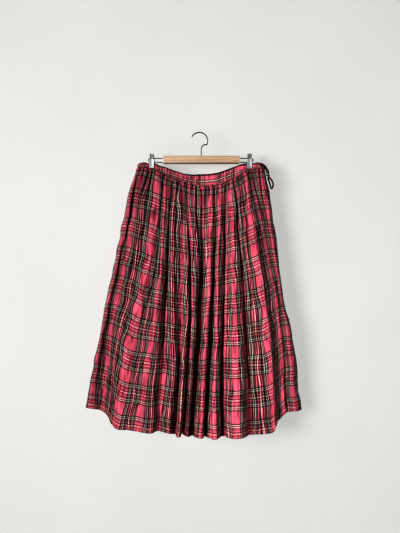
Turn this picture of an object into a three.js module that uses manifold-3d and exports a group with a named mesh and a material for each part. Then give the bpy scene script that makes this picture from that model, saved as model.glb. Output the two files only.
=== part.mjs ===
// A gathered tartan skirt, clipped by its waistband to a flat wooden hanger.
// Millimetres, +Z up, +X to the viewer's right, and the front of the skirt faces -Y.
// The origin is the inside of the hook's top, where a rod or a nail carries the hanger.
import * as THREE from 'three';
import { mergeVertices } from 'three/addons/utils/BufferGeometryUtils.js';
import Module from 'manifold-3d';

const wasm = await Module();
wasm.setup();

// ---------------------------------------------------------------- driving dimensions

const SEAM_GAP = 0.3; // between pieces that are sewn or fitted together

const CLOTH = {
  thick: 1.5,
  length: 740, // from the waist seam to the hem, along the cloth
  hemDepth: 10, // turned twice and stitched
  hemExtra: 0.6, // how far the turned hem stands proud on each side
};

// The casing has two channels, one above the other, each with its own elastic.
const BAND = {
  thick: 2.8,
  bulge: 1.1, // how far an elastic channel swells between its stitched lines
  ripple: 0.7, // the casing is rucked by its elastic
  ruckPitch: 14,
  backLean: 0.55, // the back casing leans out less than the front one
  endTuck: 0.15, // half the gap between front and back at a side seam
};

const GATHERS = {
  front: 27,
  back: 25,
  atSeam: 0.8,
  puff: 3.6, // half height of a gather just below the seam
  puffDepth: 14, // distance below the seam where gathers are fullest
  fadeDepth: 240, // distance below the seam where they have opened out
};

const BAR = { length: 231, height: 23, thick: 12, centreX: 0.2, topZ: -69, chamfer: 2.5, bevel: 1.2 };
const HOOK = { wire: 3.2, radius: 25, centreX: -6, seatDepth: 11, kneeZ: -42, hole: 3.9, steps: 34 };
const WIRE = { thick: 2.6, pitch: 12, topZ: -75.6, inBar: 14, hole: 3.2, steps: 26 };
const CLIP = {
  left: -148.5,
  right: 144.3,
  jawWidth: 16.5,
  jawTopZ: -77,
  jawBottomZ: -105,
  jawY: 5.2, // inner face of a jaw, from the middle of the hanger
  plate: 1.4,
  roll: 2.2, // side edges are rolled out by this much
  handleWidth: 13,
  handleHeight: 14,
  handleSplay: 0.22, // handles lean apart toward the top, in radians
  saddleWidth: 9,
  saddleHalf: 3.6,
  saddleTopZ: -71.6,
  saddleBottomZ: -90.2,
};
const TIE = { thick: 4.4, strandSteps: 12, loopSteps: 30 };
const ROD_SIDES = 8;

// The casing along its length: heights of its top edge and of the waist seam,
// and how far each stands out from the middle plane of the hanger.
const BAND_COLUMNS = ['x', 'topZ', 'seamZ', 'topOut', 'seamOut'];
const BAND_ROWS = [
  [-192, -93, -103, 0.15, 0.15],
  [-190, -91, -102.5, 3.2, 7],
  [-184, -89.5, -102, 5, 17],
  [-170, -88.5, -103.5, 5, 25],
  [-158, -91, -109.5, 3.5, 22],
  [-139, -91.3, -111.5, 3.5, 22],
  [-128, -96.5, -119.5, 5.5, 31],
  [-107, -104, -131.5, 8.5, 35],
  [-78, -114.7, -142, 12, 35],
  [-49, -124.3, -152.6, 15, 33],
  [-21, -126.8, -161.5, 16.5, 31],
  [10, -125.6, -163.3, 16.5, 30],
  [42, -122.5, -159.7, 15.5, 29.5],
  [73, -112.2, -149.4, 12.5, 29],
  [105, -99.8, -134.5, 8, 29],
  [124, -93.2, -123, 5.5, 28],
  [135, -91.2, -112.5, 3.5, 22],
  [154, -91, -109.5, 3.5, 21],
  [168, -89, -108, 5, 23],
  [182, -91.5, -108.5, 5, 15],
  [188, -93.5, -109, 3.2, 6.5],
  [190, -95.5, -109.5, 0.15, 0.15],
];

// Fold lines of the front panel, from the left side seam to the right one. Each row is the crest
// or the foot of a fold: its place across the cloth in repeats of the check, its place across the
// skirt and its reach toward the front at distances below the waist seam, and extra drop at the hem.
const ACROSS_AT = [0, 90, 220, 380, 540, 740];
const OUT_AT = [90, 220, 540, 740];
const FRONT_FOLDS = [
  { sett: -1.3, across: [-192, -221, -246, -279, -310, -349], out: [0.15, 0.15, 0.15, 0.15], drop: -4 },
  { sett: -1.0, across: [-189, -210, -233, -268, -300, -328], out: [20, 22, 24, 20], drop: -8 },
  { sett: -0.45, across: [-181, -200, -223, -261, -290, -306], out: [17, 16, 12, 10], drop: -4 },
  { sett: 0.0, across: [-168, -188, -212, -245, -273, -292], out: [26, 28, 28, 24], drop: -5 },
  { sett: 0.5, across: [-155, -172, -187, -214, -248, -275], out: [30, 34, 40, 42], drop: 0 },
  { sett: 0.75, across: [-139, -150, -167, -196, -234, -261], out: [30, 34, 50, 56], drop: 18 },
  { sett: 1.0, across: [-126, -132, -146, -174, -211, -246], out: [38, 46, 60, 64], drop: 20 },
  { sett: 1.5, across: [-115, -123, -130, -153, -180, -216], out: [28, 32, 56, 62], drop: 16 },
  { sett: 2.0, across: [-102, -106, -113, -129, -155, -184], out: [39, 49, 64, 66], drop: 10 },
  { sett: 2.5, across: [-94, -100, -106, -119, -133, -147], out: [36, 44, 60, 62], drop: 9 },
  { sett: 3.0, across: [-88, -94, -98, -108, -114, -128], out: [28, 27, 32, 34], drop: 6 },
  { sett: 3.5, across: [-75, -82, -88, -88, -85, -97], out: [41, 50, 60, 62], drop: 3 },
  { sett: 4.0, across: [-57, -53, -52, -58, -65, -77], out: [30, 30, 32, 34], drop: 4 },
  { sett: 4.5, across: [-46, -44, -41, -42, -53, -66], out: [36, 46, 62, 70], drop: 2 },
  { sett: 4.9, across: [-38, -36, -32, -32, -42, -56], out: [29, 28, 30, 32], drop: -3 },
  { sett: 5.3, across: [-27, -26, -19, -21, -29, -45], out: [40, 52, 46, 44], drop: -1 },
  { sett: 6.0, across: [3, 3, 2, -3, -14, -29], out: [26, 21, 15, 13], drop: 1 },
  { sett: 7.0, across: [25, 24, 23, 17, 8, -2], out: [44, 56, 70, 76], drop: -5 },
  { sett: 7.55, across: [43, 42, 39, 31, 22, 12], out: [32, 34, 40, 40], drop: -2 },
  { sett: 8.05, across: [56, 54, 49, 46, 41, 38], out: [44, 56, 72, 80], drop: 3 },
  { sett: 8.75, across: [68, 69, 70, 67, 61, 63], out: [29, 29, 36, 38], drop: 5 },
  { sett: 9.5, across: [76, 79, 81, 80, 78, 77], out: [39, 50, 68, 74], drop: 6 },
  { sett: 10.0, across: [83, 87, 90, 94, 98, 98], out: [45, 57, 76, 83], drop: 11 },
  { sett: 10.3, across: [91, 97, 103, 110, 118, 120], out: [41, 51, 70, 78], drop: 14 },
  { sett: 11.0, across: [99, 106, 116, 125, 135, 142], out: [29, 29, 37, 41], drop: 17 },
  { sett: 11.5, across: [111, 120, 134, 152, 164, 179], out: [40, 48, 56, 60], drop: 18 },
  { sett: 11.75, across: [118, 128, 143, 168, 185, 202], out: [34, 42, 51, 55], drop: 23 },
  { sett: 12.0, across: [125, 136, 158, 185, 202, 214], out: [37, 50, 58, 59], drop: 20 },
  { sett: 12.5, across: [139, 154, 179, 206, 221, 226], out: [23, 24, 28, 29], drop: 12 },
  { sett: 13.0, across: [148, 164, 190, 218, 236, 244], out: [24, 25, 28, 28], drop: -5 },
  { sett: 13.4, across: [160, 175, 200, 228, 248, 256], out: [18, 17, 17, 16], drop: -8 },
  { sett: 14.0, across: [178, 190, 209, 236, 261, 276], out: [18, 20, 22, 20], drop: -12 },
  { sett: 14.35, across: [190, 207, 225, 245, 277, 299], out: [0.15, 0.15, 0.15, 0.15], drop: -12 },
];

// Fold lines of the back panel, which hangs flatter. Across is a share of the way from the left side
// seam to the right one, at the waist and at the hem, and out is the reach toward the back.
const BACK_FOLDS = [
  { sett: -0.25, share: [0, 0], out: [0.15, 0.15, 0.15], drop: -4 },
  { sett: 0.3, share: [0.04, 0.05], out: [17, 18, 19], drop: -4 },
  { sett: 0.8, share: [0.08, 0.08], out: [13, 9, 7], drop: -2 },
  { sett: 1.55, share: [0.13, 0.15], out: [20, 23, 25], drop: 2 },
  { sett: 2.1, share: [0.17, 0.19], out: [14, 9, 6], drop: 1 },
  { sett: 2.6, share: [0.21, 0.23], out: [21, 23, 24], drop: 4 },
  { sett: 3.6, share: [0.27, 0.32], out: [20, 22, 26], drop: 7 },
  { sett: 4.15, share: [0.31, 0.35], out: [13, 8, 5], drop: 4 },
  { sett: 4.7, share: [0.35, 0.385], out: [21, 24, 27], drop: 6 },
  { sett: 5.4, share: [0.39, 0.42], out: [14, 8, 6], drop: 3 },
  { sett: 6.2, share: [0.44, 0.48], out: [22, 25, 27], drop: 5 },
  { sett: 6.9, share: [0.49, 0.53], out: [14, 10, 7], drop: 2 },
  { sett: 7.4, share: [0.53, 0.56], out: [21, 22, 23], drop: 4 },
  { sett: 8.0, share: [0.58, 0.6], out: [13, 7, 5], drop: 3 },
  { sett: 8.6, share: [0.62, 0.645], out: [22, 26, 28], drop: 7 },
  { sett: 9.6, share: [0.69, 0.72], out: [20, 21, 23], drop: 9 },
  { sett: 10.15, share: [0.73, 0.75], out: [13, 8, 6], drop: 6 },
  { sett: 10.8, share: [0.78, 0.79], out: [20, 23, 25], drop: 7 },
  { sett: 11.35, share: [0.82, 0.825], out: [13, 9, 6], drop: 2 },
  { sett: 12.1, share: [0.87, 0.88], out: [18, 20, 22], drop: -2 },
  { sett: 12.6, share: [0.92, 0.92], out: [11, 8, 6], drop: -7 },
  { sett: 13.1, share: [0.96, 0.96], out: [14, 15, 16], drop: -9 },
  { sett: 13.6, share: [1, 1], out: [0.15, 0.15, 0.15], drop: -12 },
];
const BACK_OUT_AT = [90, 320, 740];

// Distances below the waist seam where the panels' walls have a ring of points.
const FRONT_RINGS = [0, 8, 24, 48, 84, 130, 190, 260, 340, 430, 520, 610, 690, 729, 730, 740];
const BACK_RINGS = [0, 10, 36, 84, 150, 240, 350, 470, 590, 690, 729, 730, 740];
const RING_STEP = 20; // step of the sum that finds how far each thread has fallen
const SEAM_PITCH = 4.3; // spacing of a panel's columns at the waist
const FRONT_HEM_PITCH = 13; // widest spacing of the front panel's columns at the hem
const BACK_SEAM_PITCH = 5.6;
const BACK_HEM_PITCH = 17;

// The drawstring's two strands from the casing's right end to their knot, and the loop below it.
const TIE_OUTER = [
  [176, -8.4, -91.6],
  [182, -9, -94.2],
  [187, -8.8, -97.6],
  [191.5, -8, -101.5],
  [195.4, -7.2, -106.2],
  [198.6, -6.6, -111.4],
  [200.8, -6.2, -117],
  [201.4, -6, -122.7],
];
const TIE_INNER = [
  [174.5, -9.5, -96.4],
  [179.5, -9.8, -98.5],
  [184, -10.4, -101.4],
  [188, -10.3, -105],
  [191.6, -9.2, -109.4],
  [194.4, -7.6, -114],
  [196.1, -6.7, -118.6],
  [196.6, -6.2, -123.1],
];
const TIE_KNOT = { centre: [199.2, -6.2, -128.3], half: [5.6, 4.8, 5.2] };
const TIE_LOOP = [
  [202.3, -8.1, -133.3],
  [207.2, -10.2, -139.2],
  [211.4, -12.7, -145.8],
  [213.7, -14.4, -153],
  [213.6, -13.8, -159.6],
  [212.3, -10.6, -164.8],
  [210.6, -6.2, -166.9],
  [208.9, -1.8, -165.4],
  [207.9, 1.4, -160.8],
  [206.6, 2, -154.4],
  [204.6, 0.6, -147.6],
  [201.9, -2, -140.8],
  [199.2, -4.1, -133.9],
];

// ---------------------------------------------------------------- curves

const clamp01 = (value) => Math.min(Math.max(value, 0), 1);
const smooth = (value) => clamp01(value) ** 2 * (3 - 2 * clamp01(value));
const mix = (a, b, share) => a + (b - a) * share;

// Smooth curve through points that never overshoots between them.
function curveThrough(xs, ys) {
  const secants = xs.slice(1).map((x, i) => (ys[i + 1] - ys[i]) / (x - xs[i]));
  const slopes = xs.map((x, i) => {
    const before = secants[Math.max(i - 1, 0)];
    const after = secants[Math.min(i, secants.length - 1)];
    return before * after <= 0 ? 0 : (2 * before * after) / (before + after);
  });
  return (x) => {
    let i = xs.findIndex((right) => right > x) - 1;
    if (i === -2) i = xs.length - 2;
    i = Math.max(i, 0);
    const width = xs[i + 1] - xs[i];
    const t = clamp01((x - xs[i]) / width);
    const rise = smooth(t);
    const lead = t * (1 - t) ** 2 * slopes[i] - t ** 2 * (1 - t) * slopes[i + 1];
    return mix(ys[i], ys[i + 1], rise) + width * lead;
  };
}

const bandColumn = (name) => BAND_ROWS.map((row) => row[BAND_COLUMNS.indexOf(name)]);
const bandCurve = (name) => curveThrough(bandColumn('x'), bandColumn(name));
const topZ = bandCurve('topZ');
const seamZ = bandCurve('seamZ');
const topOut = bandCurve('topOut');
const seamOut = bandCurve('seamOut');

// ---------------------------------------------------------------- walls

// Points shifted into the cloth's thickness, square to each ring. The side edges shift along X,
// so that the front and back walls face each other across a side seam.
function inside(ring, thick, facing) {
  return ring.map((point, i) => {
    const last = ring.length - 1;
    if (i === 0) return new THREE.Vector3(point.x + thick, point.y, point.z);
    if (i === last) return new THREE.Vector3(point.x - thick, point.y, point.z);
    const along = new THREE.Vector2(ring[i + 1].x - ring[i - 1].x, ring[i + 1].y - ring[i - 1].y);
    along.normalize().multiplyScalar(thick);
    const y = point.y - facing * along.x;
    const limit = facing < 0 ? Math.min(y, -BAND.endTuck) : Math.max(y, BAND.endTuck);
    return new THREE.Vector3(point.x + facing * along.y, limit, point.z);
  });
}

// Closed wall between an outer and an inner grid of points, rows from the top down.
// facing is -1 for a wall that faces the front and 1 for one that faces the back.
function wall(outer, inner, facing) {
  const rows = outer.length;
  const columns = outer[0].length;
  const points = [...outer.flat(), ...inner.flat()];
  const at = (layer, row, column) => (layer * rows + row) * columns + column;
  const triangles = [];
  const quad = (a, b, c, d) => {
    if (facing < 0) triangles.push(a, b, c, a, c, d);
    else triangles.push(c, b, a, d, c, a);
  };
  for (let row = 0; row < rows - 1; row++) {
    for (let column = 0; column < columns - 1; column++) {
      quad(at(0, row, column), at(0, row + 1, column), at(0, row + 1, column + 1), at(0, row, column + 1));
      quad(at(1, row, column), at(1, row, column + 1), at(1, row + 1, column + 1), at(1, row + 1, column));
    }
    const right = columns - 1;
    quad(at(0, row, 0), at(1, row, 0), at(1, row + 1, 0), at(0, row + 1, 0));
    quad(at(0, row, right), at(0, row + 1, right), at(1, row + 1, right), at(1, row, right));
  }
  for (let column = 0; column < columns - 1; column++) {
    const foot = rows - 1;
    quad(at(0, 0, column), at(0, 0, column + 1), at(1, 0, column + 1), at(1, 0, column));
    quad(at(0, foot, column), at(1, foot, column), at(1, foot, column + 1), at(0, foot, column + 1));
  }
  const geometry = new THREE.BufferGeometry();
  geometry.setAttribute('position', new THREE.Float32BufferAttribute(points.flatMap((p) => p.toArray()), 3));
  geometry.setIndex(triangles);
  return geometry;
}

// ---------------------------------------------------------------- skirt panels

const leftSide = FRONT_FOLDS[0];
const rightSide = FRONT_FOLDS[FRONT_FOLDS.length - 1];

function frontLines() {
  return FRONT_FOLDS.map((fold) => ({
    sett: fold.sett,
    drop: fold.drop,
    across: curveThrough(ACROSS_AT, fold.across),
    out: curveThrough([0, ...OUT_AT], [seamOut(fold.across[0]), ...fold.out]),
  }));
}

function backLines() {
  const left = curveThrough(ACROSS_AT, leftSide.across);
  const right = curveThrough(ACROSS_AT, rightSide.across);
  return BACK_FOLDS.map((fold) => {
    const share = (depth) => mix(fold.share[0], fold.share[1], smooth(depth / CLOTH.length));
    const across = (depth) => mix(left(depth), right(depth), share(depth));
    const leaning = Math.max(seamOut(across(0)) * BAND.backLean, BAND.endTuck);
    return {
      sett: fold.sett,
      drop: fold.drop,
      across,
      out: curveThrough([0, ...BACK_OUT_AT], [leaning, ...fold.out]),
    };
  });
}

// Where each thread of a panel runs: its places across and out at any distance below the seam.
function drape(lines) {
  const setts = lines.map((line) => line.sett);
  const rings = new Map();
  const ringAt = (depth) => {
    if (!rings.has(depth)) {
      rings.set(depth, {
        across: curveThrough(setts, lines.map((line) => line.across(depth))),
        out: curveThrough(setts, lines.map((line) => line.out(depth))),
      });
    }
    return rings.get(depth);
  };
  const drop = curveThrough(setts, lines.map((line) => line.drop));
  // The cloth keeps its length, so a thread that runs aslant reaches less far down.
  const fall = (sett, depth) => {
    const steps = Math.max(Math.round(depth / RING_STEP), 1);
    const step = depth / steps;
    let fallen = 0;
    for (let i = 0; i < steps; i++) {
      const above = ringAt(step * i);
      const below = ringAt(step * (i + 1));
      const aside = below.across(sett) - above.across(sett);
      const forward = below.out(sett) - above.out(sett);
      fallen += Math.sqrt(Math.max(step ** 2 - aside ** 2 - forward ** 2, (step / 2) ** 2));
    }
    return fallen + drop(sett) * smooth(depth / CLOTH.length);
  };
  return { setts, ringAt, fall };
}

// Half height of the gathers at a distance below the seam.
function gatherHeight(depth) {
  const swell = mix(GATHERS.atSeam, GATHERS.puff, smooth(depth / GATHERS.puffDepth));
  return swell * (1 - smooth((depth - GATHERS.puffDepth) / GATHERS.fadeDepth));
}

// The cloth's repeats where a panel has its columns, closer where the waist or the hem needs them.
function columnSetts(lines, seamPitch, hemPitch) {
  const setts = [lines[0].sett];
  for (let i = 1; i < lines.length; i++) {
    const [before, line] = [lines[i - 1], lines[i]];
    const atSeam = (line.across(0) - before.across(0)) / seamPitch;
    const atHem = Math.hypot(
      line.across(CLOTH.length) - before.across(CLOTH.length),
      line.out(CLOTH.length) - before.out(CLOTH.length),
    );
    const count = Math.max(Math.round(Math.max(atSeam, atHem / hemPitch)), 2);
    for (let k = 1; k <= count; k++) setts.push(mix(before.sett, line.sett, k / count));
  }
  return setts;
}

function panel({ lines, facing, gathers, rings, seamPitch, hemPitch }) {
  const cloth = drape(lines);
  const setts = columnSetts(lines, seamPitch, hemPitch);
  const waist = cloth.ringAt(0);
  const left = waist.across(setts[0]);
  const width = waist.across(setts[setts.length - 1]) - left;
  const outer = [];
  const inner = [];
  for (const depth of rings) {
    const section = cloth.ringAt(depth);
    const inHem = depth > CLOTH.length - CLOTH.hemDepth - 0.5;
    const extra = inHem ? CLOTH.hemExtra : 0;
    const ring = setts.map((sett, i) => {
      const start = waist.across(sett);
      const edge = i === 0 || i === setts.length - 1;
      const phase = ((start - left) / width) * gathers;
      const taper = clamp01(phase / 1.5) * clamp01((gathers - phase) / 1.5);
      const gather = edge ? 0 : gatherHeight(depth) * taper * Math.cos(2 * Math.PI * phase);
      const out = section.out(sett) + gather;
      const x = section.across(sett);
      return new THREE.Vector3(x, facing * out, seamZ(start) - SEAM_GAP - cloth.fall(sett, depth));
    });
    outer.push(inHem ? inside(ring, -extra, facing) : ring);
    inner.push(inside(ring, CLOTH.thick + extra, facing));
  }
  return wall(outer, inner, facing);
}

// ---------------------------------------------------------------- waistband

// Shares of the casing's height: edges, middles of its two channels, and the stitched line between.
const CASING_LINES = [
  { share: 0, swell: 0 },
  { share: 0.08, swell: 0.8 },
  { share: 0.25, swell: 1 },
  { share: 0.44, swell: 0 },
  { share: 0.7, swell: 1 },
  { share: 0.92, swell: 0.7 },
  { share: 1, swell: 0 },
];

function casing({ facing, lean, columns }) {
  const left = BAND_ROWS[0][0];
  const right = BAND_ROWS[BAND_ROWS.length - 1][0];
  const outer = [];
  const inner = [];
  for (const { share, swell } of CASING_LINES) {
    const ring = [];
    for (let i = 0; i <= columns; i++) {
      const turn = (i / columns) * Math.PI;
      const even = i / columns;
      const bunched = (1 - Math.cos(turn)) / 2; // columns crowd toward the rounded ends
      const x = mix(left, right, mix(even, bunched, 0.25));
      const top = topOut(x);
      const foot = Math.max(seamOut(x) * lean, top * lean + BAND.endTuck * (1 - lean));
      // The casing hangs straight where a clip pinches it, then turns out sharply to the seam.
      const fromClip = Math.min(Math.abs(x - CLIP.left), Math.abs(x - CLIP.right));
      const pinch = 1 - smooth((fromClip - 12) / 22);
      const out = mix(top, foot, share ** mix(2, 4, pinch));
      const z = mix(topZ(x), seamZ(x), 1 - (1 - share) ** mix(1.4, 2.6, pinch));
      const ruck = Math.cos((2 * Math.PI * x) / BAND.ruckPitch) * BAND.ripple;
      const fromEnd = clamp01(Math.min(x - left, right - x) / 10);
      const proud = (1 - pinch) * swell * fromEnd * (BAND.bulge + ruck);
      ring.push(new THREE.Vector3(x, facing * (out + proud), z));
    }
    outer.push(ring);
    inner.push(inside(ring, BAND.thick, facing));
  }
  return wall(outer, inner, facing);
}

// ---------------------------------------------------------------- hanger

function circle(diameter, sides) {
  const shape = new THREE.Shape();
  for (let i = 0; i < sides; i++) {
    const angle = (2 * Math.PI * i) / sides;
    const [x, y] = [(diameter / 2) * Math.cos(angle), (diameter / 2) * Math.sin(angle)];
    if (i === 0) shape.moveTo(x, y);
    else shape.lineTo(x, y);
  }
  return shape;
}

function rodAlong(path, diameter, steps) {
  return new THREE.ExtrudeGeometry(circle(diameter, ROD_SIDES), { extrudePath: path, steps });
}

const toPoints = (rows) => rows.map((row) => new THREE.Vector3(...row));

function solidOf(geometry) {
  const bare = geometry.clone();
  bare.deleteAttribute('normal');
  bare.deleteAttribute('uv');
  const merged = mergeVertices(bare, 1e-3);
  return new wasm.Manifold(
    new wasm.Mesh({
      numProp: 3,
      vertProperties: merged.attributes.position.array,
      triVerts: new Uint32Array(merged.index.array),
    }),
  );
}

function geometryOf(solid) {
  const mesh = solid.getMesh();
  const geometry = new THREE.BufferGeometry();
  geometry.setAttribute('position', new THREE.BufferAttribute(mesh.vertProperties, 3));
  geometry.setIndex(new THREE.BufferAttribute(mesh.triVerts, 1));
  return geometry;
}

// Straight rod of a hole's size from one point to another.
function drill(from, to, diameter) {
  return solidOf(rodAlong(new THREE.LineCurve3(new THREE.Vector3(...from), new THREE.Vector3(...to)), diameter, 1));
}

function hangerBar() {
  const [halfLength, halfHeight] = [BAR.length / 2 - BAR.bevel, BAR.height / 2 - BAR.bevel];
  const cut = BAR.chamfer;
  const face = new THREE.Shape([
    new THREE.Vector2(-halfLength + cut, -halfHeight),
    new THREE.Vector2(halfLength - cut, -halfHeight),
    new THREE.Vector2(halfLength, -halfHeight + cut),
    new THREE.Vector2(halfLength, halfHeight - cut),
    new THREE.Vector2(halfLength - cut, halfHeight),
    new THREE.Vector2(-halfLength + cut, halfHeight),
    new THREE.Vector2(-halfLength, halfHeight - cut),
    new THREE.Vector2(-halfLength, -halfHeight + cut),
  ]);
  const depth = BAR.thick - 2 * BAR.bevel;
  const bevel = { bevelEnabled: true, bevelThickness: BAR.bevel, bevelSize: BAR.bevel, bevelSegments: 2 };
  const blank = new THREE.ExtrudeGeometry(face, { depth, ...bevel });
  blank.translate(0, 0, -depth / 2);
  blank.rotateX(Math.PI / 2);
  blank.translate(BAR.centreX, 0, BAR.topZ - BAR.height / 2);
  let bar = solidOf(blank);
  const seat = HOOK.seatDepth + SEAM_GAP;
  bar = bar.subtract(drill([0, 0, BAR.topZ + 5], [0, 0, BAR.topZ - seat], HOOK.hole));
  for (const side of [-1, 1]) {
    const end = BAR.centreX + (side * BAR.length) / 2;
    for (const z of [WIRE.topZ, WIRE.topZ - WIRE.pitch]) {
      const stop = end - side * (WIRE.inBar + SEAM_GAP);
      bar = bar.subtract(drill([end + side * 5, 0, z], [stop, 0, z], WIRE.hole));
    }
  }
  return geometryOf(bar);
}

// The hook: a bow of wire, bent back to the middle at its knee, then straight into the bar.
function hangerHook() {
  const inner = HOOK.radius - HOOK.wire / 2;
  const centreZ = -Math.sqrt(inner ** 2 - HOOK.centreX ** 2);
  const points = [];
  for (let degrees = 152; degrees >= -28; degrees -= 12) {
    const angle = THREE.MathUtils.degToRad(degrees);
    const x = HOOK.centreX + HOOK.radius * Math.cos(angle);
    points.push(new THREE.Vector3(x, 0, centreZ + HOOK.radius * Math.sin(angle)));
  }
  points.push(new THREE.Vector3(9.4, 0, HOOK.kneeZ + 7.4));
  points.push(new THREE.Vector3(2.2, 0, HOOK.kneeZ + 1.8));
  points.push(new THREE.Vector3(0, 0, HOOK.kneeZ - 3));
  points.push(new THREE.Vector3(0, 0, HOOK.kneeZ - 14));
  points.push(new THREE.Vector3(0, 0, BAR.topZ - HOOK.seatDepth));
  return rodAlong(new THREE.CatmullRomCurve3(points, false, 'centripetal'), HOOK.wire, HOOK.steps);
}

// A wire that runs out of the bar's end, round a half turn past the clip, and back in.
function slideWire(side, clipX) {
  const start = BAR.centreX + side * (BAR.length / 2 - WIRE.inBar);
  const bend = clipX + side * 4.6;
  const radius = WIRE.pitch / 2;
  const middle = WIRE.topZ - radius;
  const path = new THREE.CurvePath();
  const upper = new THREE.Vector3(bend, 0, WIRE.topZ);
  const lower = new THREE.Vector3(bend, 0, WIRE.topZ - WIRE.pitch);
  path.add(new THREE.LineCurve3(new THREE.Vector3(start, 0, WIRE.topZ), upper));
  const turn = [upper];
  for (let k = 1; k < 8; k++) {
    const angle = Math.PI / 2 - (k / 8) * Math.PI;
    const x = bend + side * radius * Math.cos(angle);
    turn.push(new THREE.Vector3(x, 0, middle + radius * Math.sin(angle)));
  }
  turn.push(lower);
  path.add(new THREE.CatmullRomCurve3(turn));
  path.add(new THREE.LineCurve3(lower, new THREE.Vector3(start, 0, WIRE.topZ - WIRE.pitch)));
  return rodAlong(path, WIRE.thick, WIRE.steps);
}

// One pressed steel plate of a clip: a jaw with rolled side edges and three short teeth,
// and above it a handle with two ribs that leans away from its partner.
function clipPlate(clipX, facing) {
  const half = CLIP.jawWidth / 2;
  const roll = CLIP.roll;
  const jaw = new THREE.Shape([
    new THREE.Vector2(-half, 0),
    new THREE.Vector2(half, 0),
    new THREE.Vector2(half, roll),
    new THREE.Vector2(half - 1.2, roll + 0.7),
    new THREE.Vector2(half - 2.6, roll),
    new THREE.Vector2(half - 3.2, CLIP.plate),
    new THREE.Vector2(-half + 3.2, CLIP.plate),
    new THREE.Vector2(-half + 2.6, roll),
    new THREE.Vector2(-half + 1.2, roll + 0.7),
    new THREE.Vector2(-half, roll),
  ]);
  const jawPlate = new THREE.ExtrudeGeometry(jaw, { depth: CLIP.jawTopZ - CLIP.jawBottomZ, bevelEnabled: false });
  let plate = solidOf(jawPlate);
  for (const place of [-1, 0, 1]) {
    const tooth = new THREE.CylinderGeometry(2.1, 2.1, CLIP.plate, 10);
    tooth.translate(place * (half - 2.4), CLIP.plate / 2, 0.4);
    plate = plate.add(solidOf(tooth));
  }
  const grip = CLIP.handleWidth / 2;
  const handle = new THREE.Shape([
    new THREE.Vector2(-grip, 0),
    new THREE.Vector2(grip, 0),
    new THREE.Vector2(grip, CLIP.plate + 1.4),
    new THREE.Vector2(grip - 3.6, CLIP.plate + 1.4),
    new THREE.Vector2(grip - 4.2, CLIP.plate),
    new THREE.Vector2(-grip + 4.2, CLIP.plate),
    new THREE.Vector2(-grip + 3.6, CLIP.plate + 1.4),
    new THREE.Vector2(-grip, CLIP.plate + 1.4),
  ]);
  const handlePlate = new THREE.ExtrudeGeometry(handle, { depth: CLIP.handleHeight + 2, bevelEnabled: false });
  handlePlate.translate(0, 0, -2);
  handlePlate.rotateX(-CLIP.handleSplay);
  handlePlate.translate(0, 0, CLIP.jawTopZ - CLIP.jawBottomZ);
  plate = plate.add(solidOf(handlePlate));
  // A boss behind the plate bears on the saddle between the two plates.
  const bossDepth = CLIP.jawY - CLIP.saddleHalf - SEAM_GAP + 0.5;
  const boss = new THREE.BoxGeometry(7, bossDepth, 5);
  boss.translate(0, 0.5 - bossDepth / 2, CLIP.jawTopZ - CLIP.jawBottomZ - 4);
  plate = plate.add(solidOf(boss));
  const geometry = geometryOf(plate);
  geometry.rotateZ(facing < 0 ? Math.PI : 0);
  geometry.translate(clipX, facing * CLIP.jawY, CLIP.jawBottomZ);
  return geometry;
}

// The saddle slides on both strands of the wire and holds the plates apart.
function clipSaddle(clipX) {
  const half = CLIP.saddleHalf;
  const height = CLIP.saddleTopZ - CLIP.saddleBottomZ;
  const block = new THREE.BoxGeometry(CLIP.saddleWidth, 2 * half, height);
  block.translate(clipX, 0, CLIP.saddleBottomZ + height / 2);
  let saddle = solidOf(block);
  for (const z of [WIRE.topZ, WIRE.topZ - WIRE.pitch]) {
    saddle = saddle.subtract(drill([clipX - 20, 0, z], [clipX + 20, 0, z], WIRE.thick + 2 * SEAM_GAP + 0.1));
  }
  return geometryOf(saddle);
}

// ---------------------------------------------------------------- drawstring

const cord = (rows, steps) =>
  rodAlong(new THREE.CatmullRomCurve3(toPoints(rows), false, 'centripetal'), TIE.thick, steps);

function tieKnot() {
  const knot = new THREE.SphereGeometry(1, 10, 8);
  knot.scale(...TIE_KNOT.half);
  knot.translate(...TIE_KNOT.centre);
  return knot;
}

// ---------------------------------------------------------------- assembly

const FINISH = {
  tartan: { color: 0xb02440, roughness: 0.95, metalness: 0 },
  tartanDark: { color: 0x5a1426, roughness: 0.95, metalness: 0 },
  wood: { color: 0xc89a6c, roughness: 0.5, metalness: 0 },
  steel: { color: 0xb9bdbe, roughness: 0.3, metalness: 1 },
};

const skirt = new THREE.Group();

function addPiece(name, geometry, finish) {
  const mesh = new THREE.Mesh(geometry, new THREE.MeshStandardMaterial(FINISH[finish]));
  mesh.name = name;
  skirt.add(mesh);
}

const frontPanel = {
  lines: frontLines(),
  facing: -1,
  gathers: GATHERS.front,
  rings: FRONT_RINGS,
  seamPitch: SEAM_PITCH,
  hemPitch: FRONT_HEM_PITCH,
};
const backPanel = {
  lines: backLines(),
  facing: 1,
  gathers: GATHERS.back,
  rings: BACK_RINGS,
  seamPitch: BACK_SEAM_PITCH,
  hemPitch: BACK_HEM_PITCH,
};
addPiece('skirt_front', panel(frontPanel), 'tartan');
addPiece('skirt_back', panel(backPanel), 'tartan');
addPiece('waistband_front', casing({ facing: -1, lean: 1, columns: 54 }), 'tartan');
addPiece('waistband_back', casing({ facing: 1, lean: BAND.backLean, columns: 40 }), 'tartan');

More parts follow.
